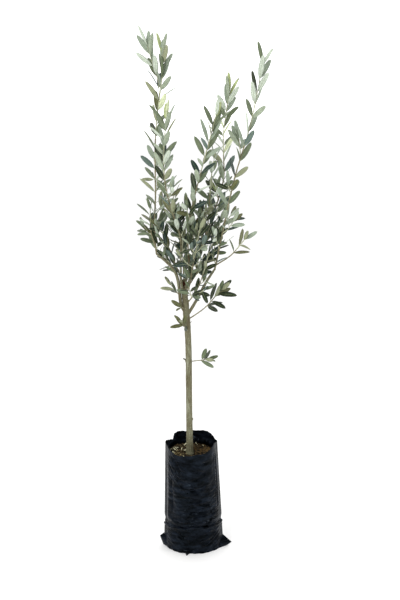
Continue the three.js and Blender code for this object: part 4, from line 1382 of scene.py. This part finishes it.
def bag_piece(material):
    headings = np.arange(FILM_COLUMNS) * 360 / FILM_COLUMNS
    rim = rim_height(headings)[None, :]
    even = FILM_ROWS[-1][1]
    low_rows = np.concatenate([np.arange(low, high, step) for low, high, step in FILM_ROWS])
    high_rows = np.linspace(0, 1, int((RIM_HEIGHT - even) / FILM_ROW_TOP))
    z = np.concatenate([low_rows[:, None] + 0 * rim, even + high_rows[:, None] * (rim - even)])
    outside = film_points(np.broadcast_to(headings, z.shape), z, 0)
    z_inside = rim + (FILM_INSIDE - rim) * np.linspace(0, 1, INSIDE_ROWS)[:, None]
    inside_headings = np.broadcast_to(headings, z_inside.shape)
    inside = film_points(inside_headings, z_inside, FILM_THICKNESS) + inner_fold(inside_headings, z_inside)
    foot = outside[0].mean(0)
    ring = foot + (outside[0] - foot) * FOOT_RING
    points = np.concatenate([foot[None], ring, outside.reshape(-1, 3), inside.reshape(-1, 3)])
    faces = [(0, 1 + (column + 1) % FILM_COLUMNS, 1 + column) for column in range(FILM_COLUMNS)]
    faces += grid_faces(1 + len(z) + INSIDE_ROWS, FILM_COLUMNS, True, 1)
    make_piece("bag_film", points, faces, [material], None, ["bag"])


EAR_ROWS = 18
EAR_COLUMNS = 48
EAR_EDGE = (0, 0.4, 0.72, 1)
EAR_SINK = 5
EAR_PUFF = 2.6
EAR_LIFT = 0.4
EAR_FLOOR = 0.25
# Powers that place the ear's line on the wall by heading and height, and how far its sheets stand apart and
# sag
EAR_POWERS = (0.8, 1.2)
EAR_SAG = (0.6, 0.5)


def ear_sheet(ear, spread, toward):
    """One of the two sheets of an ear, from the wall to the seam along its outer edge."""
    foot = film_place(ear["side"] + spread, EAR_LIFT, 1)
    top = film_place(ear["side"], ear["top"], 1)
    corners = np.array([top, ear["tip"], np.array(ear["heel"]) + [0, 0, EAR_LIFT], foot])
    points = []
    for row in range(EAR_ROWS):
        reach = row / (EAR_ROWS - 1)
        for column in range(EAR_COLUMNS):
            share = column / (EAR_COLUMNS - 1)
            edge = np.array([np.interp(share, EAR_EDGE, corners[:, axis]) for axis in range(3)])
            heading = ear["side"] + spread * share ** EAR_POWERS[0]
            wall = film_place(heading, ear["top"] * (1 - share) ** EAR_POWERS[1], EAR_SINK)
            sag = 4 * reach * (1 - reach) * math.sin(math.pi * share)
            folds = 0.9 * math.sin(share * 27 + spread) + 0.7 * math.sin(share * 11 + reach * 3)
            puff = np.array([0, toward * (EAR_PUFF + folds) * sag * EAR_SAG[0], folds * sag * EAR_SAG[1]])
            point = mix(wall, edge, reach) + puff
            points.append(np.array([point[0], point[1], max(point[2], EAR_FLOOR)]))
    return points


def ear_piece(ear, number, material):
    """A corner of the bag's seam: film drawn out from the wall to a flattened tip."""
    front, back = ear["spread"] if ear["side"] == 0 else ear["spread"][::-1]
    rows = ear_sheet(ear, front, -1) + ear_sheet(ear, back, 1)
    pattern = grid_faces(EAR_ROWS, EAR_COLUMNS, False)
    faces = pattern + moved_faces([face[::-1] for face in pattern], EAR_ROWS * EAR_COLUMNS)
    make_piece(f"bag_ear_{number}", rows, faces, [material], None, ["bag"])


# The compost

SQUARE = [(-1, -1), (1, -1), (1, 1), (-1, 1)]
SOIL_SIDES = 96
SOIL_ROWS = 30
SOIL_INSET = 4.5
SOIL_MIDDLE = 0.02
# The compost's roughness: the spacing, slice and settings of its noise, its size, how fast it grows from the
# trunk, and how far the whole top sinks
SOIL_ROUGH = dict(spacing=0.09, slice=3, fractal=(0.8, 2.1, 4), size=1.3, growth=4, sink=0.6)
CHIP_SEED = 77
# Kinds of chip: colour, how many, the least and greatest lengths, widths and thicknesses, and the heading
# round which most of them lie
CHIPS = {
    "dark chip": (srgb(30, 23, 14), 620, (3, 9), (1.6, 4), (0.8, 2.2), None),
    "bark chip": (srgb(72, 60, 40), 330, (4, 13), (2, 5), (0.8, 2.4), None),
    "red chip": (srgb(92, 72, 40), 170, (4, 12), (2, 4.5), (0.8, 2), 10),
    "tan chip": (srgb(140, 126, 88), 120, (4, 13), (1.2, 3.2), (0.6, 1.6), 190),
    "straw": (srgb(236, 226, 188), 34, (8, 24), (1.5, 3.2), (0.6, 1.2), 160),
}
CHIP_SPREAD = (0, 152)
CHIP_SHARES = (0.16, 0.92)
CHIP_EASE = (0.62, 1.05)
CHIP_TILT = (-24, 24)
CHIP_ROLL = (-35, 35)
CHIP_RISE = (0.2, 1.6)
CHIP_CORNERS = [(*corner, up) for up in (-1, 1) for corner in SQUARE]
CHIP_FACES = [(3, 2, 1, 0), (4, 5, 6, 7), (0, 1, 5, 4), (1, 2, 6, 5), (2, 3, 7, 6), (3, 0, 4, 7)]


def soil_point(degrees, share):
    """A place on the compost's top: share runs from the trunk's foot to the film."""
    z = SOIL_TOP + SOIL_RISE * (SOIL_EDGE + waves(np.radians(degrees), SOIL_WAVES)) * share
    x, y, _ = mix(np.array([TRUNK_FOOT[0], TRUNK_FOOT[1], z]), film_place(degrees, z, SOIL_INSET), share)
    spacing = SOIL_ROUGH["spacing"]
    rough = noise.fractal(Vector((x * spacing, y * spacing, SOIL_ROUGH["slice"])), *SOIL_ROUGH["fractal"])
    lift = rough * SOIL_ROUGH["size"] * min(1, share * SOIL_ROUGH["growth"])
    return np.array([x, y, z + lift - SOIL_ROUGH["sink"]])


def soil_piece(material):
    rows = []
    for row in range(SOIL_ROWS):
        share = max(row / (SOIL_ROWS - 1), SOIL_MIDDLE)
        rows += [soil_point(360 * side / SOIL_SIDES, share) for side in range(SOIL_SIDES)]
    faces = grid_faces(SOIL_ROWS, SOIL_SIDES, True)
    make_piece("compost", rows, [face[::-1] for face in faces], [material], None, ["soil"])


def chip_pieces():
    """Chips of bark and a few straws, lying over the compost at all angles."""
    stream = Stream(CHIP_SEED)
    for name, (colour, count, *sizes, side) in CHIPS.items():
        rows = []
        faces = []
        for _ in range(count):
            share = mix(*CHIP_SHARES, math.sqrt(stream.draw()))
            heading = stream.draw() * 360
            if side is not None:
                heading = side + stream.between(-1, 1) * stream.between(*CHIP_SPREAD)
            place = soil_point(heading, share)
            yaw = stream.draw() * math.tau
            tilt = math.radians(stream.between(*CHIP_TILT))
            roll = math.radians(stream.between(*CHIP_ROLL))
            rise = stream.between(*CHIP_RISE)
            half = np.array([stream.between(*size) / 2 for size in sizes])
            faces += moved_faces(CHIP_FACES, len(rows))
            for corner in CHIP_CORNERS:
                eased = corner * half * [stream.between(*CHIP_EASE) for _ in range(3)]
                point = turned(turned(eased, np.array([1.0, 0, 0]), roll), BACK, tilt)
                rows.append(place + turned(point, UP, yaw) + UP * rise)
        piece_name = "chips_" + name.replace(" ", "_")
        make_piece(piece_name, rows, faces, [chip_finish(name, colour)], None, ["soil"], False)


# The scene around the plant

SENSOR_WIDTH = 36
FLOOR_HALF = 30
FLOOR_COLOUR = (0.99, 0.99, 0.985, 1)
# Square lamps: where each stands, its size, its power, and the height on the plant's axis that it faces
LAMPS = {
    "key": dict(place=(-1.5, -2.0, 2.6), size=0.9, power=30, aim=0.8),
    "low": dict(place=(-0.9, -2.3, 1.2), size=0.4, power=17, aim=0.25),
    "side": dict(place=(2.3, -0.5, 0.9), size=0.4, power=12, aim=0.25),
}
SKY_BACK = 1.88
SKY_FRONT = 0.18


def make_camera():
    data = bpy.data.cameras.new("camera")
    data.lens = CAMERA_LENS
    data.sensor_width = SENSOR_WIDTH
    camera = add_to_scene("camera", data)
    camera.location = CAMERA_PLACE
    camera.rotation_euler = (math.radians(90 - CAMERA_PITCH), 0, 0)
    bpy.context.scene.camera = camera


def make_floor():
    corners = [(x * FLOOR_HALF, y * FLOOR_HALF, 0) for x, y in SQUARE]
    mesh = bpy.data.meshes.new("floor")
    mesh.from_pydata(corners, [], [(0, 1, 2, 3)])
    mesh.materials.append(Finish("pale floor", FLOOR_COLOUR, 0.9, 0.1).material)
    add_to_scene("floor", mesh)


def make_lamp(name, place, size, power, aim):
    lamp = bpy.data.lights.new(name, "AREA")
    lamp.energy = power
    lamp.size = size
    made = add_to_scene(name, lamp)
    made.location = place
    made.rotation_euler = (Vector((0, 0, aim)) - Vector(place)).to_track_quat("-Z", "Y").to_euler()


def make_light():
    """Soft studio light: a surround that is dimmer in front, two lamps at the left and one at the right."""
    world = bpy.data.worlds.new("studio")
    bpy.context.scene.world = world
    world.use_nodes = True
    tree = world.node_tree
    coordinates = tree.nodes.new("ShaderNodeTexCoord")
    split = tree.nodes.new("ShaderNodeSeparateXYZ")
    ramp = tree.nodes.new("ShaderNodeMapRange")
    fill_inputs(tree, split, {"Vector": coordinates.outputs["Generated"]})
    brightness = {"Value": split.outputs["Y"], "From Min": -1, "To Min": SKY_FRONT, "To Max": SKY_BACK}
    fill_inputs(tree, ramp, brightness)
    fill_inputs(tree, tree.nodes["Background"], {"Color": WHITE, "Strength": ramp.outputs["Result"]})
    for name, values in LAMPS.items():
        make_lamp(name, **values)
    bpy.context.scene.view_settings.view_transform = "Standard"


def make_tree():
    plant = grow_plant()
    bark = bark_finish()
    for limb in plant.limbs.values():
        limb_piece(limb, [bark, wound_finish()] if limb.name == "trunk" else [bark])
    stub_pieces(plant, [twig_finish("dead twig", srgb(62, 60, 42), srgb(104, 100, 76))])
    brown = twig_finish("brown twig", srgb(104, 98, 74), srgb(146, 140, 112))
    green = twig_finish("green twig", srgb(154, 157, 126), srgb(190, 192, 164))
    twigs_piece(plant, [brown, green])
    leaf_pieces(plant)


def make_pot():
    film = film_finish()
    bag_piece(film)
    for number, ear in enumerate(EARS):
        ear_piece(ear, number, film)
    soil_piece(soil_finish())
    chip_pieces()


make_camera()
make_floor()
make_light()
make_pot()
make_tree()
